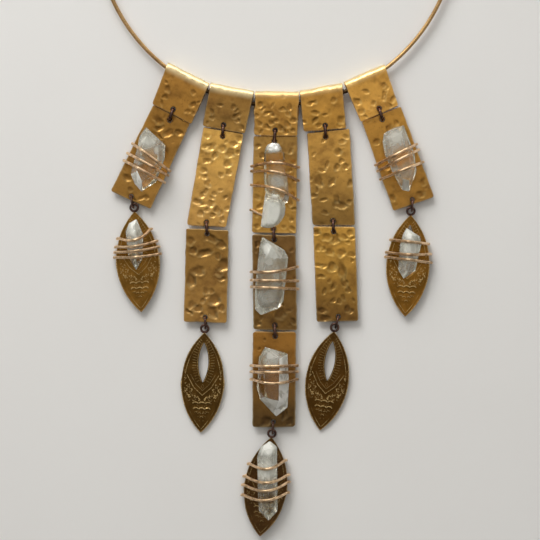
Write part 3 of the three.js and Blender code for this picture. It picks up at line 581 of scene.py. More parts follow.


# Each sheet's look: its colours at the top and at the bottom, whose difference is painted reflection, how
# many small stray marks it has, and its hammer marks as (share across, share down, radius in mm). A bail's
# marks are on its front flap. Some sheets have their own "worn" (how far before the fold the pale band of
# wear and painted highlight starts in mm, and at what share of the fold it is full), corner radius, wandering
# of the cut edges, and waves of the front and of the back, in mm.
SHEET_STYLES = {
    "bail_1": {"tones": [(148, 106, 46), (146, 105, 45)], "scatter": 8, "worn": (1.7, 0.2), "dents": [
        (.74, .23, 1.1), (.2, .47, 1.1), (.2, .69, 1.0), (.2, .86, .9), (.85, .52, 1.2), (.8, .75, 1.1),
        (.92, .72, 1.0), (.12, .33, .8), (.95, .4, .8)]},
    "bail_2": {"tones": [(130, 94, 43), (144, 109, 54)], "scatter": 8, "worn": (1.7, 0.2), "dents": [
        (.62, .35, 1.0), (.71, .43, .9), (.72, .56, 1.3), (.14, .57, 1.0), (.18, .71, 1.1), (.77, .68, 1.2),
        (.1, .9, .8), (.9, .85, 1.0), (.3, .36, .9)]},
    "bail_3": {"tones": [(168, 124, 56), (160, 118, 54)], "scatter": 10, "wander": 0.3, "dents": [
        (.2, .32, 1.0), (.12, .2, 1.2), (.42, .2, .9), (.62, .3, 1.2), (.8, .25, 1.2), (.75, .38, 1.4),
        (.42, .45, .9), (.3, .43, 1.2), (.9, .58, 1.2), (.5, .6, 1.0), (.75, .68, 1.2), (.4, .66, 1.1),
        (.12, .7, 1.1), (.3, .77, 1.1), (.6, .78, 1.2), (.7, .87, 1.4), (.15, .9, 1.0), (.9, .85, 1.0),
        (.05, .5, 1.0)]},
    "bail_4": {"tones": [(166, 122, 54), (166, 122, 52)], "scatter": 6, "dents": [
        (.25, .22, 1.4), (.75, .23, 1.1), (.3, .5, 1.2), (.3, .7, 1.2), (.53, .59, .8), (.37, .85, 1.0),
        (.9, .75, 1.5), (.04, .72, 1.0), (.85, .9, 1.0)]},
    "bail_5": {"tones": [(182, 136, 62), (190, 142, 66)], "scatter": 8, "dents": [
        (.1, .45, 1.3), (.38, .3, 1.0), (.83, .33, 1.0), (.85, .43, 1.0), (.78, .55, 1.1), (.72, .66, 1.2),
        (.12, .73, 1.3), (.45, .65, 1.0), (.92, .78, 1.2), (.8, .9, 1.0), (.15, .9, .8)]},
    "plate_1": {"tones": [(134, 96, 40), (134, 98, 44)], "scatter": 14, "dents": [
        (.27, .12, 1.8), (.37, .19, 1.5), (.62, .19, 1.6), (.85, .14, 1.4), (.48, .27, 1.0), (.2, .8, 1.5),
        (.8, .9, 1.2), (.7, .93, 1.2), (.38, .9, 1.0)]},
    "plate_2_upper": {"tones": [(190, 148, 74), (168, 128, 66)], "scatter": 12, "dents": [
        (.25, .185, 1.8), (.11, .19, 1.2), (.4, .265, 1.2), (.55, .18, 1.6), (.74, .225, 1.7),
        (.93, .2, 1.2), (.83, .12, 1.5), (.9, .055, 1.4), (.6, .11, .8), (.22, .33, 1.2), (.73, .335, 1.6),
        (.17, .43, 1.3), (.22, .495, 1.2), (.33, .56, 1.4), (.63, .45, 1.1), (.8, .42, 1.2), (.68, .61, 1.0),
        (.33, .64, 1.0), (.26, .68, 1.3), (.54, .66, 1.0), (.5, .7, 1.0), (.85, .68, 1.0), (.5, .76, 1.5),
        (.15, .745, 1.4), (.28, .77, 1.4), (.94, .79, 1.2), (.68, .815, 1.3), (.45, .83, 1.2),
        (.79, .85, 1.2), (.3, .87, 1.2), (.85, .91, 1.2), (.6, .88, 1.0), (.12, .08, 1.2)]},
    "plate_2_lower": {"tones": [(124, 91, 41), (142, 106, 53)], "scatter": 8, "wave": 0.16, "back_wave": 0.08,
                      "dents": [
        (.1, .13, 1.8), (.58, .09, 2.0), (.82, .15, 1.8), (.17, .23, 1.6), (.45, .25, 2.0), (.77, .28, 1.2),
        (.9, .37, 2.4), (.3, .44, 2.2), (.15, .53, 2.4), (.78, .45, 1.5), (.85, .52, 1.3), (.5, .66, 1.3),
        (.63, .66, 1.0), (.52, .72, 1.0), (.7, .74, 2.2), (.43, .76, 1.2), (.17, .81, 1.6), (.3, .85, 1.6),
        (.66, .87, 2.2), (.86, .84, 1.5), (.12, .89, 1.2), (.42, .91, .8)]},
    "plate_3_upper": {"tones": [(140, 106, 52), (160, 120, 54)], "scatter": 30, "dents": [
        (.1, .1, 1.2), (.2, .2, 1.2), (.85, .15, 1.2), (.9, .27, 1.2), (.83, .35, 1.0), (.12, .3, 1.0),
        (.95, .45, 1.0), (.9, .6, 1.1), (.85, .68, 1.2), (.95, .75, 1.1), (.88, .85, 1.2), (.1, .63, 1.2),
        (.17, .72, 1.2), (.08, .8, 1.3), (.1, .93, 1.2), (.7, .93, 1.0), (.9, .95, 1.2)]},
    "plate_3_middle": {"tones": [(101, 73, 36), (100, 73, 33)], "scatter": 10, "dents": [
        (.62, .82, 2.2), (.1, .93, 1.4), (.92, .9, 1.4), (.17, .88, 1.0), (.8, .79, 1.0), (.9, .15, 1.0),
        (.95, .45, 1.0), (.12, .1, 1.2), (.07, .17, 1.0)]},
    "plate_3_lower": {"tones": [(130, 90, 36), (74, 54, 25)], "scatter": 4, "corner": 1.3, "dents": [
        (.28, .08, .7), (.15, .18, .8), (.3, .93, 2.0), (.75, .86, 1.5), (.87, .93, 1.5)]},
    "plate_4_upper": {"tones": [(172, 130, 62), (120, 90, 42)], "scatter": 8, "dents": [
        (.42, .355, 1.3), (.29, .405, 1.3), (.66, .385, 1.3), (.87, .385, 1.3), (.76, .33, 1.0),
        (.2, .525, 2.0), (.52, .535, 1.5), (.93, .56, 1.2), (.15, .62, 1.0), (.07, .68, 1.2),
        (.29, .725, 1.2), (.6, .71, 1.4), (.66, .775, 2.1), (.9, .75, 1.0), (.31, .86, 1.2), (.8, .12, 1.1),
        (.88, .07, 1.2), (.7, .225, 1.5), (.13, .23, .9), (.02, .5, .9), (.37, .105, 1.0)]},
    "plate_4_lower": {"tones": [(170, 128, 55), (102, 73, 31)], "scatter": 8, "dents": [
        (.3, .11, 1.6), (.5, .12, 1.9), (.71, .105, 1.4), (.86, .06, 1.2), (.93, .12, 1.0), (.8, .165, .9),
        (.06, .06, 1.4), (.1, .22, 1.2), (.22, .23, 1.1), (.37, .265, 1.5), (.65, .27, 1.7), (.9, .29, 1.3),
        (.89, .355, .8), (.08, .4, 1.3), (.2, .41, 1.2), (.4, .415, 1.9), (.63, .45, 2.2), (.14, .52, 1.2),
        (.34, .57, .8), (.42, .635, 1.3), (.69, .585, 1.6), (.78, .665, 1.2), (.2, .68, 1.1), (.63, .74, 1.1),
        (.42, .77, 1.0), (.55, .79, 1.2), (.9, .77, .9), (.83, .89, 1.2), (.12, .88, 1.6), (.2, .96, 1.6),
        (.75, .86, 1.2)]},
    "plate_5": {"tones": [(156, 113, 48), (136, 98, 41)], "scatter": 10, "dents": [
        (.17, .25, 1.3), (.55, .17, 1.5), (.75, .14, 1.2), (.87, .81, 1.3), (.07, .86, 1.4), (.72, .92, 1.5),
        (.2, .55, 1.2)]},
}


def style_for(name):
    seed = sum(ord(c) * (i + 3) for i, c in enumerate(name)) % 9973
    usual = {"corner": 0.9, "wander": 0.1, "wave": 0.2, "back_wave": 0.05, "worn": (1.2, 0.5)}
    return {"seed": seed, **usual, **SHEET_STYLES[name]}


def plate(name, material):
    corners, style = corners_of(name), style_for(name)
    low, high = box_of(name)
    middle = (low[2] + high[2]) / 2
    length = mean_length(corners)
    style["origin"], style["span"] = 0.0, length
    holes = [(centre, radius, length) for centre, radius in holes_in(name)]
    path = lambda t: (t / length, middle + 0 * t, 0 * t, 1 + 0 * t)
    hammered_sheet(name, corners, path, length, holes, style, material)


def bail(name, material):
    """A sleeve: front flap, fold round the neck wire, and back flap."""
    corners, style = corners_of(name), style_for(name)
    spread = FOLD_SPREAD * unit(corners[1] - corners[0])
    corners[0], corners[1] = corners[0] - spread, corners[1] + spread
    points = cad_points(name)
    base = points[:, 2].min()
    points[:, 2] -= base
    length = mean_length(corners)
    fold = points[:, 2].max() / 2 - SHEET / 2
    top_middle = (corners[0] + corners[1]) / 2
    slide = unit((corners[2] + corners[3]) / 2 - top_middle)
    down = (points[:, :2] - top_middle) @ slide
    back_reach = down[points[:, 2] < 0.1].max()
    front_low = points[down > 0.9 * length, 2].min() + SHEET / 2
    centre = fold + SHEET / 2
    rise = 2 * fold + SHEET / 2 - front_low
    flap = math.hypot(length - centre, rise)
    arc = math.pi * fold
    back = back_reach - centre
    travel = flap + arc + back

    def path(t):
        on_flap = np.clip(t / flap, 0, 1)
        angle = np.clip((t - flap) / fold, 0, math.pi)
        beyond = np.clip(t - flap - arc, 0, None)
        along = length + (centre - length) * on_flap - fold * np.sin(angle) + beyond
        level = base + front_low + rise * on_flap - fold * (1 - np.cos(angle))
        tilt = math.atan2(rise, length - centre) * (1 - smooth((t - flap + 1.5) / 3))
        slope_d = np.sin(tilt) * (t < flap + 2) - np.sin(angle)
        slope_z = np.cos(angle) * np.cos(tilt)
        return along / length, level, slope_d, slope_z

    style["origin"], style["span"] = flap, -flap
    style["fold"] = (flap, flap + arc)
    holes = [(centre_xy, radius, flap) for centre_xy, radius in holes_in(name)]
    hammered_sheet(name, corners, path, travel, holes, style, material)


for sheet in sorted(SHEET_STYLES):
    make = bail if sheet.startswith("bail") else plate
    top_tone, bottom_tone = (metal_tone(tone) for tone in SHEET_STYLES[sheet]["tones"])
    lowest, highest = box_of(sheet)
    make(sheet, brass(sheet + "_brass", top_tone, bottom_tone, (highest[1], lowest[1])))


# ---------------------------------------------------------------- neck wire and clasp

def neck_wire():
    low, high = box_of("collar_wire")
    radius = (high[2] - low[2]) / 2
    ring = (high[0] - low[0]) / 2 - radius
    centre = np.array([(low[0] + high[0]) / 2, low[1] + radius + ring, (low[2] + high[2]) / 2])
    clasp_low, clasp_high = box_of("collar_clasp")
    half = math.asin((clasp_high[0] - clasp_low[0]) / 4 / ring)
    angles = np.linspace(math.pi / 2 + half, 2.5 * math.pi - half, 260)
    points = centre + ring * np.stack([np.cos(angles), np.sin(angles), 0 * angles], axis=1)
    vertices, faces = tube(points, radius, 20)
    first, last = corners_of("bail_1")[0][0], corners_of("bail_5")[1][0]
    # Painted shade on the near half of the wire between the first and the last sleeve.
    shade = (vertices[:, 0] > first) & (vertices[:, 0] < last) & (vertices[:, 1] < centre[1])
    new_piece("neck_wire", vertices, faces, COLLAR_BRASS, ["collar_wire"], {"shade": shade})


def clasp():
    """A plain barrel with a rim at each end and a fine groove round its middle."""
    low, high = box_of("collar_clasp")
    middle, half = (low + high) / 2, (high[0] - low[0]) / 2
    radius = (high[2] - low[2]) / 2
    bore = 1.0
    side = [(half - 3.0, bore), (half - 0.15, bore), (half, bore + 0.15), (half, radius - 0.35),
            (half - 0.12, radius - 0.12), (half - 0.35, radius), (half - 0.9, radius),
            (half - 1.05, radius - 0.22), (half - 1.3, radius - 0.28), (0.6, radius - 0.12),
            (0.45, radius - 0.12), (0.3, radius - 0.3), (0.0, radius - 0.34)]
    profile = side + [(-x, r) for x, r in side[-2::-1]]
    sides = 40
    turns = [k * 2 * math.pi / sides for k in range(sides)]
    vertices = [middle + np.array([x, r * math.cos(s), r * math.sin(s)]) for x, r in profile for s in turns]
    faces = []
    for i in range(len(profile) - 1):
        for k in range(sides):
            p, q = i * sides + k, i * sides + (k + 1) % sides
            faces.append((p, p + sides, q + sides, q))
    last = (len(profile) - 1) * sides
    faces.append(tuple(range(sides)))
    faces.append(tuple(range(last, last + sides))[::-1])
    new_piece("clasp_barrel", vertices, faces, COLLAR_BRASS, ["collar_clasp"], sharp=40)


neck_wire()
clasp()


# ---------------------------------------------------------------- jump rings

def jump_ring(name):
    points = cad_points(name)
    middle = (points.min(axis=0) + points.max(axis=0)) / 2
    plan = points[:, :2] - middle[:2]
    values, vectors = np.linalg.eigh(plan.T @ plan)
    run = np.array([*vectors[:, 1], 0.0])
    side = np.array([*vectors[:, 0], 0.0])
    wire = np.abs(plan @ vectors[:, 0]).max() / math.sin(math.pi / 3)
    radius = (points[:, 2].max() - points[:, 2].min()) / 2 - wire
    seam = math.radians(5 + 3 * value_noise(middle[0], middle[1], 9.0, 5))
    angles = np.linspace(seam, 2 * math.pi, 56) + 0.8
    up = np.array([0.0, 0.0, 1.0])
    lean = 0.06 * np.sin(angles)[:, None] * side
    circle = middle + radius * (np.outer(np.cos(angles), run) + np.outer(np.sin(angles), up)) + lean
    vertices, faces = tube(circle, wire, 14)
    new_piece(name + "_wire", vertices, faces, DARK_COPPER, [name], sharp=50)


for ring_node in sorted(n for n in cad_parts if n.startswith("ring")):
    jump_ring(ring_node)


# ---------------------------------------------------------------- embossed drops

LOOP_RADIUS, LOOP_WIRE, STANDOFF = 1.3, 0.43, 1.35
DROP_THICKNESS = 1.0
SLOT_START, SLOT_LENGTH, SLOT_WIDTH = 3.6, 14.3, 3.5


def drop_frame(name):
    """The drop's loop, its direction to the tip, its direction across, its normal, and its body's length."""
    points = cad_points(name)
    tip_xy = points[points[:, 1].argmin()]
    top_xy = points[points[:, 1].argmax()]
    tip = points[np.linalg.norm(points[:, :2] - tip_xy[:2], axis=1) < 0.2].mean(axis=0)
    top = points[np.linalg.norm(points[:, :2] - top_xy[:2], axis=1) < 0.4].mean(axis=0)
    run = unit(tip - top)
    loop = top + run * (LOOP_RADIUS + 0.35)
    loop[2] = top[2]
    run = unit(tip - loop)
    side = unit(np.cross([0.0, 0.0, 1.0], -run))
    side = side if side[0] > 0 else -side
    normal = np.cross(side, -run)
    return loop, run, side, normal, np.linalg.norm(tip - loop) - STANDOFF


def half_width(share, length, width):
    radius = ((length / 2) ** 2 + (width / 2) ** 2) / width
    along = length * (share - 0.5)
    return np.sqrt(np.clip(radius ** 2 - along ** 2, 0, None)) - (radius - width / 2)


def slot_half_width(y):
    return half_width(np.clip((y - SLOT_START) / SLOT_LENGTH, 0, 1), SLOT_LENGTH, SLOT_WIDTH)


def drop_width(name):
    points = cad_points(name)
    loop, _, side, _, _ = drop_frame(name)
    reach = (points - loop) @ side
    return reach.max() - reach.min()


def spiral(cx, cy, size, turns, start, hand):
    angles = np.linspace(0, turns * 2 * math.pi, 14)
    reach = size * (0.25 + 0.75 * angles / angles[-1])
    return [(cx + r * math.cos(start + hand * s), cy + r * math.sin(start + hand * s))
            for r, s in zip(reach, angles)]


def arc_line(cx, cy, rx, ry, first, last):
    angles = np.linspace(math.radians(first), math.radians(last), 7)
    return [(cx + rx * math.cos(s), cy + ry * math.sin(s)) for s in angles]


# The scrolled rows, as (distance down, first and last distance from the middle), for a drop 36 mm long.
SCROLL_ROWS = [(13.6, 6.2, 6.2), (15.4, 6.4, 6.4), (17.2, 6.3, 6.3), (18.8, 4.6, 6.1), (20.4, 3.6, 6.4),
               (22.0, 2.6, 6.2), (23.5, 1.2, 5.8)]


def emboss_strokes(length):
    """Raised lines on the right half, as (line, half width, height); the left half mirrors them."""
    strokes = []
    scale = length / 36.0
    for k in range(17):
        share = (k + 0.5) / 17
        y = SLOT_START - 0.9 + share * (SLOT_LENGTH + 0.6)
        x = float(slot_half_width(y)) + 0.75
        lean = math.radians(-52 + 84 * share)
        strokes.append(([(x, y), (x + 1.5 * math.cos(lean), y + 1.5 * math.sin(lean))], 0.13, 0.13))
    for x0, y0, y1, high in ((5.7, 15.3, 22.6, 0.16), (4.4, 15.2, 20.9, 0.12)):
        strokes.append(([(x0, y0), (x0 * 0.55, (y0 + 2 * y1) / 3 - 0.4), (0, y1)], 0.16, high))
    strokes.append(([(0, 18.6), (0.5, 19.4), (0, 20.2)], 0.14, 0.1))
    draw = np.random.RandomState(4)
    for row, (cy, first, last) in enumerate(SCROLL_ROWS):
        for cx in np.arange(first, last + 0.1, 0.95):
            for half_row in (0.0, 0.85):
                spot = (cx + draw.uniform(-0.25, 0.25), cy + half_row + draw.uniform(-0.2, 0.2))
                size, turns = draw.uniform(0.28, 0.5), draw.uniform(0.3, 0.9)
                curl = spiral(*spot, size, turns, draw.uniform(0, 6.3), 1 - 2 * (row % 2))
                strokes.append((curl, 0.11, draw.uniform(0.1, 0.26)))
    for cy, span, rise, high in ((25.6, 2.3, 0.5, 0.2), (27.6, 2.1, 0.5, 0.22)):
        for cx in (0.0, span):
            strokes.append((arc_line(cx, cy, span / 2.3, rise, 190, 350), 0.2, high))
    for cy, last in ((24.6, 4.4), (26.6, 3.4), (28.6, 2.6), (30.2, 1.8), (31.8, 1.0)):
        for cx in np.arange(0.4, last, 0.8):
            spot = (cx + draw.uniform(-0.2, 0.2), cy + draw.uniform(-0.35, 0.35))
            curl = spiral(*spot, draw.uniform(0.25, 0.45), 0.7, draw.uniform(0, 6.3), 1)
            strokes.append((curl, 0.1, 0.11))
    strokes += [(arc_line(0.85, 29.3, 0.6, 0.45, 200, 340), 0.14, 0.16),
                (arc_line(2.1, 28.9, 0.45, 0.4, 210, 350), 0.13, 0.14),
                (arc_line(0.0, 30.6, 0.55, 0.4, 190, 350), 0.14, 0.16)]
    return [([(x, y * scale) for x, y in line], w, h) for line, w, h in strokes]


def relief_at(x, y, length, width):
    """Height of the embossing at points across x and down y, from which the drop takes its wear."""
    side = np.abs(x)
    height = np.zeros_like(x)
    for line, reach, high in emboss_strokes(length):
        line = np.array(line)
        best = np.full_like(x, 9.0)
        for p, q in zip(line[:-1], line[1:]):
            run = q - p
            share = np.clip(((side - p[0]) * run[0] + (y - p[1]) * run[1]) / max(run @ run, 1e-9), 0, 1)
            best = np.minimum(best, np.hypot(side - p[0] - share * run[0], y - p[1] - share * run[1]))
        height = np.maximum(height, high * np.exp(-(best / reach) ** 2))
    border = half_width(np.clip(y / length, 0, 1), length, width) - side
    faded = 0.5 + 0.5 * value_noise(x, y, 3.2, 21)
    height = np.maximum(height, 0.19 * faded * np.exp(-((border - 1.25) / 0.17) ** 2))
    rim = 0.2 * smooth(1 - border / 0.5)
    slot = side - slot_half_width(y)
    slot = np.where((y > SLOT_START) & (y < SLOT_START + SLOT_LENGTH), slot, 9.0)
    lip = 0.14 * smooth(1 - np.abs(slot - 0.3) / 0.3)
    return np.maximum(np.maximum(height, rim), lip)


# Each drop's ground colour, from 0 to 255, and how bright its raised lines are: worn metal, with a painted
# highlight that differs from drop to drop.
DROP_TONES = {"drop_1": (94, 66, 25), "drop_2": (62, 43, 16), "drop_3": (60, 41, 20), "drop_4": (62, 41, 14),
              "drop_5": (96, 66, 23)}
DROP_WEAR_AND_HIGHLIGHT = {"drop_1": 0.85, "drop_2": 1.0, "drop_3": 0.6, "drop_4": 0.9, "drop_5": 0.9}
WORN_BRASS = (0.85, 0.6, 0.26)


def drop(name):
    loop, run, side, normal, length = drop_frame(name)
    worn_and_highlight_tone = tuple(DROP_WEAR_AND_HIGHLIGHT[name] * c for c in WORN_BRASS)
    finish = embossed_metal(name + "_brass", metal_tone(DROP_TONES[name]), worn_and_highlight_tone)
    width = drop_width(name)
    seed = sum(map(ord, name))
    rows = int(210 * DETAIL)
    columns = int(42 * DETAIL)
    down = (1 - np.cos(np.linspace(0, math.pi, rows + 1))) / 2 * 0.35 + np.linspace(0, 1, rows + 1) * 0.65
    y = np.repeat(down[:, None] * length, columns + 1, axis=1)
    u = np.linspace(0, 1, columns + 1)
    u = (u + 0.12 * np.sin(u * math.pi) * (u - 0.5) * 2)[None, :]
    outer = half_width(y / length, length, width)
    outer = outer * (1 + 0.025 * value_noise(y, 0 * y, 4.0, seed))
    in_slot = (y > SLOT_START) & (y < SLOT_START + SLOT_LENGTH)
    inner = np.where(in_slot, slot_half_width(y), 0)
    x = inner + (outer - inner) * u
    relief = relief_at(x, y, length, width)
    edge = outer - x
    rounding = 0.3 * (1 - np.sqrt(np.clip(1 - np.clip(1 - edge / 0.3, 0, 1) ** 2, 0, 1)))
    worn = value_noise(x, y, 2.6, seed + 3)
    front = DROP_THICKNESS / 2 - 0.12 + relief * (0.85 + 0.25 * worn) - rounding * (edge < 0.3)
    front = np.where(outer < 0.6, DROP_THICKNESS / 2 * smooth(outer / 0.6), front)
    vertices, faces, wear, lookup = [], [], [], {}

    def put(i, j, mirrored, face):
        mid = j == 0 and inner[i, 0] < 1e-6
        key = (i, j, mirrored and not mid, face)
        if outer[i, 0] < 1e-3:
            key = (i, 0, False, face)
        if key not in lookup:
            lookup[key] = len(vertices)
            sx = -x[i, j] if mirrored else x[i, j]
            lift = front[i, j] if face == 0 else -DROP_THICKNESS / 2 + 0.5 * rounding[i, j]
            vertices.append(loop + run * (STANDOFF + y[i, j]) + side * sx + normal * lift)
            wear.append(min(1.0, relief[i, j] / 0.2) if face == 0 else 0.15)
        return lookup[key]

    def add_face(mirrored, *cells):
        face = [put(i, j, mirrored, side) for i, j, side in cells]
        face = face[::-1] if mirrored else face
        face = [p for k, p in enumerate(face) if p != face[k - 1]]
        if len(set(face)) > 2:
            faces.append(tuple(face))

    back_columns = [0, columns // 3, 2 * columns // 3, columns]
    for mirrored in (False, True):
        for i in range(rows):
            for j in range(columns):
                add_face(mirrored, (i, j, 0), (i + 1, j, 0), (i + 1, j + 1, 0), (i, j + 1, 0))
            for j, k in zip(back_columns[:-1], back_columns[1:]):
                add_face(mirrored, (i, j, 1), (i, k, 1), (i + 1, k, 1), (i + 1, j, 1))
            add_face(mirrored, (i, columns, 0), (i + 1, columns, 0), (i + 1, columns, 1), (i, columns, 1))
            if inner[i, 0] > 1e-6 or inner[i + 1, 0] > 1e-6:
                add_face(mirrored, (i, 0, 0), (i, 0, 1), (i + 1, 0, 1), (i + 1, 0, 0))
    layers = {"relief": wear}
    new_piece(name + "_embossed", vertices, faces, finish, [name], layers, sharp=55)
    angles = np.linspace(0, 2 * math.pi, 49)
    circle = loop + LOOP_RADIUS * (np.outer(np.cos(angles), side) + np.outer(np.sin(angles), -run))
    tube_vertices, tube_faces = tube(circle, LOOP_WIRE, 12)
    new_piece(name + "_loop", tube_vertices, tube_faces, DARK_COPPER, sharp=50)


for drop_node in sorted(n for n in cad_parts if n.startswith("drop")):
    drop(drop_node)


# ---------------------------------------------------------------- quartz points

# The top face of each sheet's quartz point, as (share across the sheet, share down it, share of its height).
CRESTS = {
    "plate_1": [(.2, .31, .85), (.55, .36, .9), (.72, .5, .9), (.74, .68, .8), (.57, .78, 1.0),
               (.36, .7, 1.0), (.24, .48, 1.0)],
    "plate_3_middle": [(.3, .1, .6), (.45, .12, .8), (.64, .25, 1.0), (.58, .55, .95),
               (.5, .7, .9), (.2, .74, .8), (.22, .5, .95), (.3, .25, 1.0)],
    "plate_3_lower": [(.36, .24, .8), (.62, .27, .85), (.63, .4, 1.0), (.62, .72, .95),
               (.55, .8, .75), (.28, .68, .95), (.26, .4, 1.0)],
    "plate_5": [(.45, .28, .85), (.78, .27, .85), (.76, .45, 1.0), (.7, .6, 1.0), (.56, .76, .85),
               (.42, .72, .9), (.42, .45, 1.0)],
    "drop_1": [(.46, .14, .8), (.5, .14, .85), (.53, .3, 1.0), (.52, .46, .9), (.47, .48, .9),
               (.43, .3, .95)],
    "drop_3": [(.47, .1, .8), (.56, .12, .85), (.57, .4, 1.0), (.6, .72, .95), (.54, .76, .9),
               (.48, .7, .95), (.46, .3, 1.0)],
    "drop_5": [(.46, .2, .8), (.54, .2, .8), (.53, .42, 1.0), (.5, .56, .9), (.43, .54, .85),
               (.43, .32, 1.0)],
}
# Each quartz point's milky veil, its frosted faces as (degrees round from the right, strength), whose white
# is frosting and painted reflection, and its milky zones as (share across, share down, radius in mm, milk).
VEILS = {
    "plate_1": (.16, [(250, 1.0), (215, .9), (20, .45)], [
        (.27, .37, 3.4, .5), (.63, .4, 1.8, .5), (.3, .59, 1.6, .4), (.48, .63, 1.8, .04),
        (.4, .74, 1.6, .1)]),
    "plate_3_upper": (.1, [], [
        (.46, .11, 2.5, 1.0), (.49, .25, 3.0, .02), (.57, .47, 3.2, .36), (.47, .8, 7.0, .74),
        (.8, .64, 1.7, .8)]),
    "plate_3_middle": (.3, [(60, .5), (270, .45)], [
        (.4, .14, 2.8, .55), (.31, .3, 2.8, .4), (.34, .46, 2.4, .18), (.3, .7, 2.8, .36),
        (.1, .82, 1.6, .6)]),
    "plate_3_lower": (.05, [(355, .9), (300, .95), (235, .8)], [
        (.46, .25, 4.4, .45), (.34, .56, 3.6, .0), (.58, .84, 1.4, 1.0)]),
    "plate_5": (.2, [(290, .75), (170, .4)], [
        (.6, .29, 4.0, .44), (.56, .52, 2.2, .08), (.52, .66, 2.2, .26), (.33, .6, 1.2, .5)]),
    "drop_1": (.34, [(270, .8)], [(.48, .14, 3.4, .76), (.57, .28, 1.4, .6), (.45, .46, 2.0, .08)]),
    "drop_3": (.34, [(270, .85)], [
        (.43, .1, 3.4, .76), (.49, .33, 3.4, .62), (.56, .6, 2.6, .08), (.6, .72, 1.8, .15)]),
    "drop_5": (.36, [(250, .55)], [(.5, .18, 2.6, .76), (.52, .33, 2.6, .68), (.52, .5, 1.8, .3)]),
}


def place_on(sheet):
    """A function from shares across and down a sheet to a point in plan."""
    if sheet.startswith("plate"):
        corners = corners_of(sheet)
        return lambda u, v: within(corners, u, v)
    loop, run, across, _, length = drop_frame(sheet)
    width = drop_width(sheet)
    return lambda u, v: (loop + run * (STANDOFF + v * length) + across * (u - 0.5) * width)[:2]


def quartz_piece(sheet, vertices, faces, attributes, sharp):
    """A stone that lets the light through to its sheet."""
    veil, frosted, zones = VEILS[sheet]
    place = place_on(sheet)
    placed = [(place(u, v), radius + 0.4, milk) for u, v, radius, milk in zones]
    name = "quartz_" + sheet
    stone = quartz(name + "_stone", veil, placed, 1.0 if frosted else 0.15)
    piece = new_piece(name, vertices, faces, stone, ["crystal_" + sheet], attributes, sharp)
    piece.visible_shadow = False


def hull_mesh(points):
    mesh = bmesh.new()
    for p in points:
        mesh.verts.new(Vector(p) * MM)
    result = bmesh.ops.convex_hull(mesh, input=mesh.verts)
    inner = result["geom_interior"] + result["geom_unused"]
    loose = list({v for v in inner if isinstance(v, bmesh.types.BMVert)})
    bmesh.ops.delete(mesh, geom=loose, context="VERTS")
    bmesh.ops.dissolve_limit(mesh, angle_limit=math.radians(3), verts=mesh.verts, edges=mesh.edges)
    return mesh


def faceted_quartz(sheet):
    """A quartz point: the CAD lump's widest outline, a foot under it, and its own top face above."""
    points = cad_points("crystal_" + sheet)
    low, high = points[:, 2].min(), points[:, 2].max()
    girdle = points[(points[:, 2] > low + 0.3) & (points[:, 2] < high - 0.3)]
    place = place_on(sheet)
    foot = points[points[:, 2] < low + 0.3]
    crest = [(*place(u, v), low + share * (high - low)) for u, v, share in CRESTS[sheet]]
    mesh = hull_mesh([*girdle, *foot, *crest])
    edges = [e for e in mesh.edges if e.calc_face_angle(0) > math.radians(8)]
    rounded = bmesh.ops.bevel(mesh, geom=edges, offset=0.2 * MM, segments=2, profile=0.5, affect="EDGES",
                              clamp_overlap=True)
    turned = set(rounded["faces"])
    # rim marks the rounded edges, which the stone's material paints with highlights.
    rim = [float(all(face in turned for face in v.link_faces)) for v in mesh.verts]
    mesh.verts.index_update()
    mesh.normal_update()
    # Faces turned the listed ways get white frosting and painted reflection.
    frost_and_reflection = []
    for face in mesh.faces:
        towards = math.atan2(face.normal.y, face.normal.x)
        sides = [strength for degrees, strength in VEILS[sheet][1]
                 if math.cos(towards - math.radians(degrees)) > 0.8]
        frost_and_reflection.append(max(sides, default=0.0) if 0.05 < face.normal.z < 0.97 else 0.0)
    vertices = np.array([v.co[:] for v in mesh.verts]) / MM
    faces = [tuple(v.index for v in f.verts) for f in mesh.faces]
    mesh.free()
    quartz_piece(sheet, vertices, faces, {"rim": rim, "frost_and_reflection": frost_and_reflection}, 12)


def lumpy_quartz(sheet):
    """A quartz point grown together from several: the CAD lumps melted into one rough body."""
    name = "crystal_" + sheet
    copy = add_object("lump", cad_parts[name].data.copy())
    remesh = copy.modifiers.new("remesh", "REMESH")
    remesh.mode = "VOXEL"
    remesh.voxel_size = 0.3 * MM
    melt = copy.modifiers.new("melt", "SMOOTH")
    melt.factor = 0.5
    melt.iterations = 24
    baked = bpy.data.meshes.new_from_object(copy.evaluated_get(bpy.context.evaluated_depsgraph_get()))
    bpy.data.objects.remove(copy)
    vertices = np.array([v.co[:] for v in baked.vertices]) / MM
    normals = np.array([v.normal[:] for v in baked.vertices])
    cap = place_on(sheet)(0.45, 0.12)
    crust = smooth(1 - np.linalg.norm(vertices[:, :2] - cap, axis=1) / 5.0)
    rough = value_noise(vertices[:, 0] + vertices[:, 2], vertices[:, 1], 0.9, 11)
    ripple = value_noise(vertices[:, 0], vertices[:, 1] + vertices[:, 2], 2.6, 12)
    vertices = vertices + normals * (0.34 * crust * rough + 0.04 * ripple)[:, None]
    lowest, _ = box_of(name)
    vertices[:, 2] = np.maximum(vertices[:, 2], lowest[2])
    faces = [tuple(p.vertices) for p in baked.polygons]
    quartz_piece(sheet, vertices, faces, {}, 35)


for stone_sheet in sorted(VEILS):
    make_stone = faceted_quartz if stone_sheet in CRESTS else lumpy_quartz
    make_stone(stone_sheet)


# ---------------------------------------------------------------- wire wraps

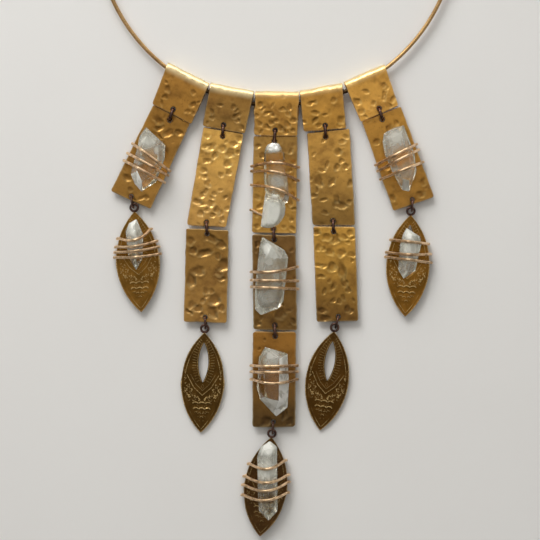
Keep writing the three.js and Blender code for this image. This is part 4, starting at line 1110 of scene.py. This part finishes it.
# Each sheet's strands, as (distance down its left side, distance down its right side, upward bow) in mm.
WRAPS = {
    "plate_1": [(15.9, 18.3, 0), (19.7, 20.1, 0), (22.6, 22.9, 0)],
    "plate_3_upper": [(10.8, 11.2, 1.2), (12.7, 15.8, 1.2), (17.7, 22.7, 1.2), (26.5, 29.4, -1.5)],
    "plate_3_middle": [(13.4, 11.2, -0.8), (16.4, 16.2, 0), (18.8, 19.0, 0)],
    "plate_3_lower": [(12.1, 12.1, 0), (14.3, 14.3, 0), (17.0, 17.0, -1.2)],
    "plate_5": [(16.3, 14.8, 0), (18.5, 16.9, 0), (21.7, 21.5, 0)],
    "drop_1": [(9.2, 6.8, -2.2), (12.2, 11.1, -0.8), (14.1, 13.2, -0.5), (15.9, 15.7, -0.5)],
    "drop_3": [(10.3, 7.7, -2.1), (14.9, 12.7, -2.2), (18.0, 15.2, -2.3), (21.6, 19.0, -2.0)],
    "drop_5": [(9.3, 10.0, 0), (13.8, 13.6, -0.5), (15.5, 16.6, 0)],
}
# The strand that ends under its stone: its sheet and its place in the list.
UNDER = ("plate_3_upper", 3)
WIRE = 0.52


def side_point(sheet, side, distance):
    """The point in plan on a sheet's left (-1) or right (1) side, a distance from its top."""
    if sheet.startswith("plate"):
        top_left, top_right, bottom_left, bottom_right = corners_of(sheet)
        a, b = (top_left, bottom_left) if side < 0 else (top_right, bottom_right)
        return a + unit(b - a) * distance
    loop, run, across, _, length = drop_frame(sheet)
    half = float(half_width(distance / length, length, drop_width(sheet)))
    return (loop + run * (STANDOFF + distance) + across * side * half)[:2]


def upper_hull(points):
    hull = []
    for p in points:
        while len(hull) > 1:
            a, b = hull[-2], hull[-1]
            if (b[0] - a[0]) * (p[1] - a[1]) - (b[1] - a[1]) * (p[0] - a[0]) < 0:
                break
            hull.pop()
        hull.append(p)
    return np.array(hull)


def wrap(sheet):
    """One wire over the stone and round the sheet's sides, strand after strand."""
    stone = bpy.data.objects["quartz_" + sheet].data
    tree = BVHTree.FromPolygons([v.co / MM for v in stone.vertices], [p.vertices[:] for p in stone.polygons])
    low, high = (corner[2] for corner in box_of(sheet))
    top = high + 0.05
    middle = (low + high) / 2
    reach = (high - low) / 2 + WIRE + 0.08
    turn = np.radians(np.linspace(-90, 90, 9))
    steps = 40
    route = []
    for n, (left, right, bow) in enumerate(WRAPS[sheet]):
        under = (sheet, n) == UNDER
        start, end = side_point(sheet, -1, left), side_point(sheet, 1, right)
        across = unit(end - start)
        upward = np.array([-across[1], across[0]])
        for s in turn:
            out = start - across * (reach * math.cos(s) * 0.8 - 0.1)
            route.append([*out, middle + reach * math.sin(s)])
        plan = [start + (end - start) * k / steps + upward * 4 * bow * (k / steps) * (1 - k / steps)
                for k in range(steps + 1)]
        levels = []
        for p in plan:
            best = top
            for aside in () if under else (-0.25, 0, 0.25):
                q = p + upward * aside
                hit = tree.ray_cast(Vector((q[0], q[1], 60)), Vector((0, 0, -1)))
                if hit[0] is not None:
                    best = max(best, hit[0].z)
            levels.append(best)
        run = np.linalg.norm(end - start)
        hull = upper_hull([(run * k / steps, levels[k]) for k in range(steps + 1)])
        for k in range(1, steps // 2 if under else steps):
            z = np.interp(run * k / steps, hull[:, 0], hull[:, 1]) + WIRE
            route.append([*plan[k], z])
        for s in () if under else turn[::-1]:
            out = end + across * (reach * math.cos(s) * 0.8 - 0.1)
            route.append([*out, middle + reach * math.sin(s)])
    route = np.array(route)
    for _ in range(2):
        route[1:-1] = (route[:-2] + 2 * route[1:-1] + route[2:]) / 4
    dense = [route[0]]
    for p in route[1:]:
        gap = np.linalg.norm(p - dense[-1])
        if gap > 0.12:
            count, last = max(1, int(gap / 1.2)), dense[-1]
            dense += [last + (p - last) * (k + 1) / count for k in range(count)]
    vertices, faces = tube(dense, WIRE, 10)
    name = "wrap_" + sheet
    new_piece(name + "_wire", vertices, faces, ROSE_WIRE, [name], sharp=60)


for wrapped_sheet in sorted(WRAPS):
    wrap(wrapped_sheet)


# ---------------------------------------------------------------- floor, lights and camera

def floor():
    mesh = bpy.data.meshes.new("floor")
    reach, level = 3.0, -0.00003
    corners = [(x * reach, y * reach, level) for x, y in ((-1, -1), (1, -1), (1, 1), (-1, 1))]
    mesh.from_pydata(corners, [], [(0, 1, 2, 3)])
    material, tree, principled = shader("pale_surface")
    place = object_place(tree)
    clouds = noise_at(tree, place, 60.0, 2.0)
    pale = mix_colour(tree, clouds, (0.80, 0.785, 0.755), (0.83, 0.82, 0.79))
    tree.links.new(pale, principled.inputs["Base Color"])
    principled.inputs["Roughness"].default_value = 0.7
    mesh.materials.append(material)
    add_object("floor", mesh)


def area_light(name, place, aim, size, spread, power, colour, glints):
    data = bpy.data.lights.new(name, "AREA")
    data.shape = "RECTANGLE"
    data.size, data.size_y = size
    data.spread = math.radians(spread)
    data.energy = power
    data.color = colour
    lamp = add_object(name, data)
    lamp.location = place
    lamp.visible_camera = False
    lamp.visible_glossy = glints
    lamp.visible_diffuse = not glints
    lamp.rotation_euler = (Vector(aim) - Vector(place)).to_track_quat("-Z", "Y").to_euler()


def studio():
    """A dim room: lighter towards the window, overhead and low down ahead, darkest on the near side."""
    world = bpy.data.worlds.new("studio")
    world.use_nodes = True
    tree = world.node_tree
    towards = add_node(tree, "ShaderNodeTexCoord").outputs["Generated"]
    to_window = vector_node(tree, "DOT_PRODUCT", towards, (0.0, 0.9, 0.3))
    upward = vector_node(tree, "DOT_PRODUCT", towards, (0.0, 0.0, 1.0))
    ahead = vector_node(tree, "DOT_PRODUCT", towards, (0.2, 0.98, 0.0))
    walls = ramp(tree, to_window, -0.7, 0.7, 0.1, 0.4)
    ceiling = ramp(tree, upward, 0.66, 0.98, 0.0, 0.27)
    glow = ramp(tree, ahead, 0.8, 0.98, 0.0, 1.2)
    background = tree.nodes["Background"]
    background.inputs["Color"].default_value = (1.0, 0.975, 0.935, 1)
    light = math_node(tree, "ADD", math_node(tree, "ADD", walls, ceiling), glow)
    tree.links.new(light, background.inputs["Strength"])
    bpy.context.scene.world = world


AIM = Vector((-2.33, -47.14, 0.0)) * MM
VIEW_WIDTH, CAMERA_HEIGHT = 0.1929, 1.25

floor()
area_light("window", (-0.3, 0.66, 0.46), (-0.02, 0.02, 0), (0.8, 0.5), 72, 1.6, (0.99, 0.99, 1.0), False)
area_light("glint", (-0.3, 0.66, 0.46), (0, -0.05, 0), (0.4, 0.3), 180, 3.3, (1.0, 0.98, 0.94), True)
area_light("low_glint", (0.32, 0.75, 0.28), (0, -0.05, 0), (0.6, 0.28), 180, 1.3, (1.0, 0.98, 0.94), True)
studio()
bpy.context.scene.view_settings.view_transform = "Standard"

camera_data = bpy.data.cameras.new("camera")
camera_data.sensor_width = 36.0
camera_data.lens = 36.0 * CAMERA_HEIGHT / VIEW_WIDTH
camera_data.clip_end = 20.0
camera = add_object("camera", camera_data)
camera.location = AIM + Vector((0, 0, CAMERA_HEIGHT))
bpy.context.scene.camera = camera
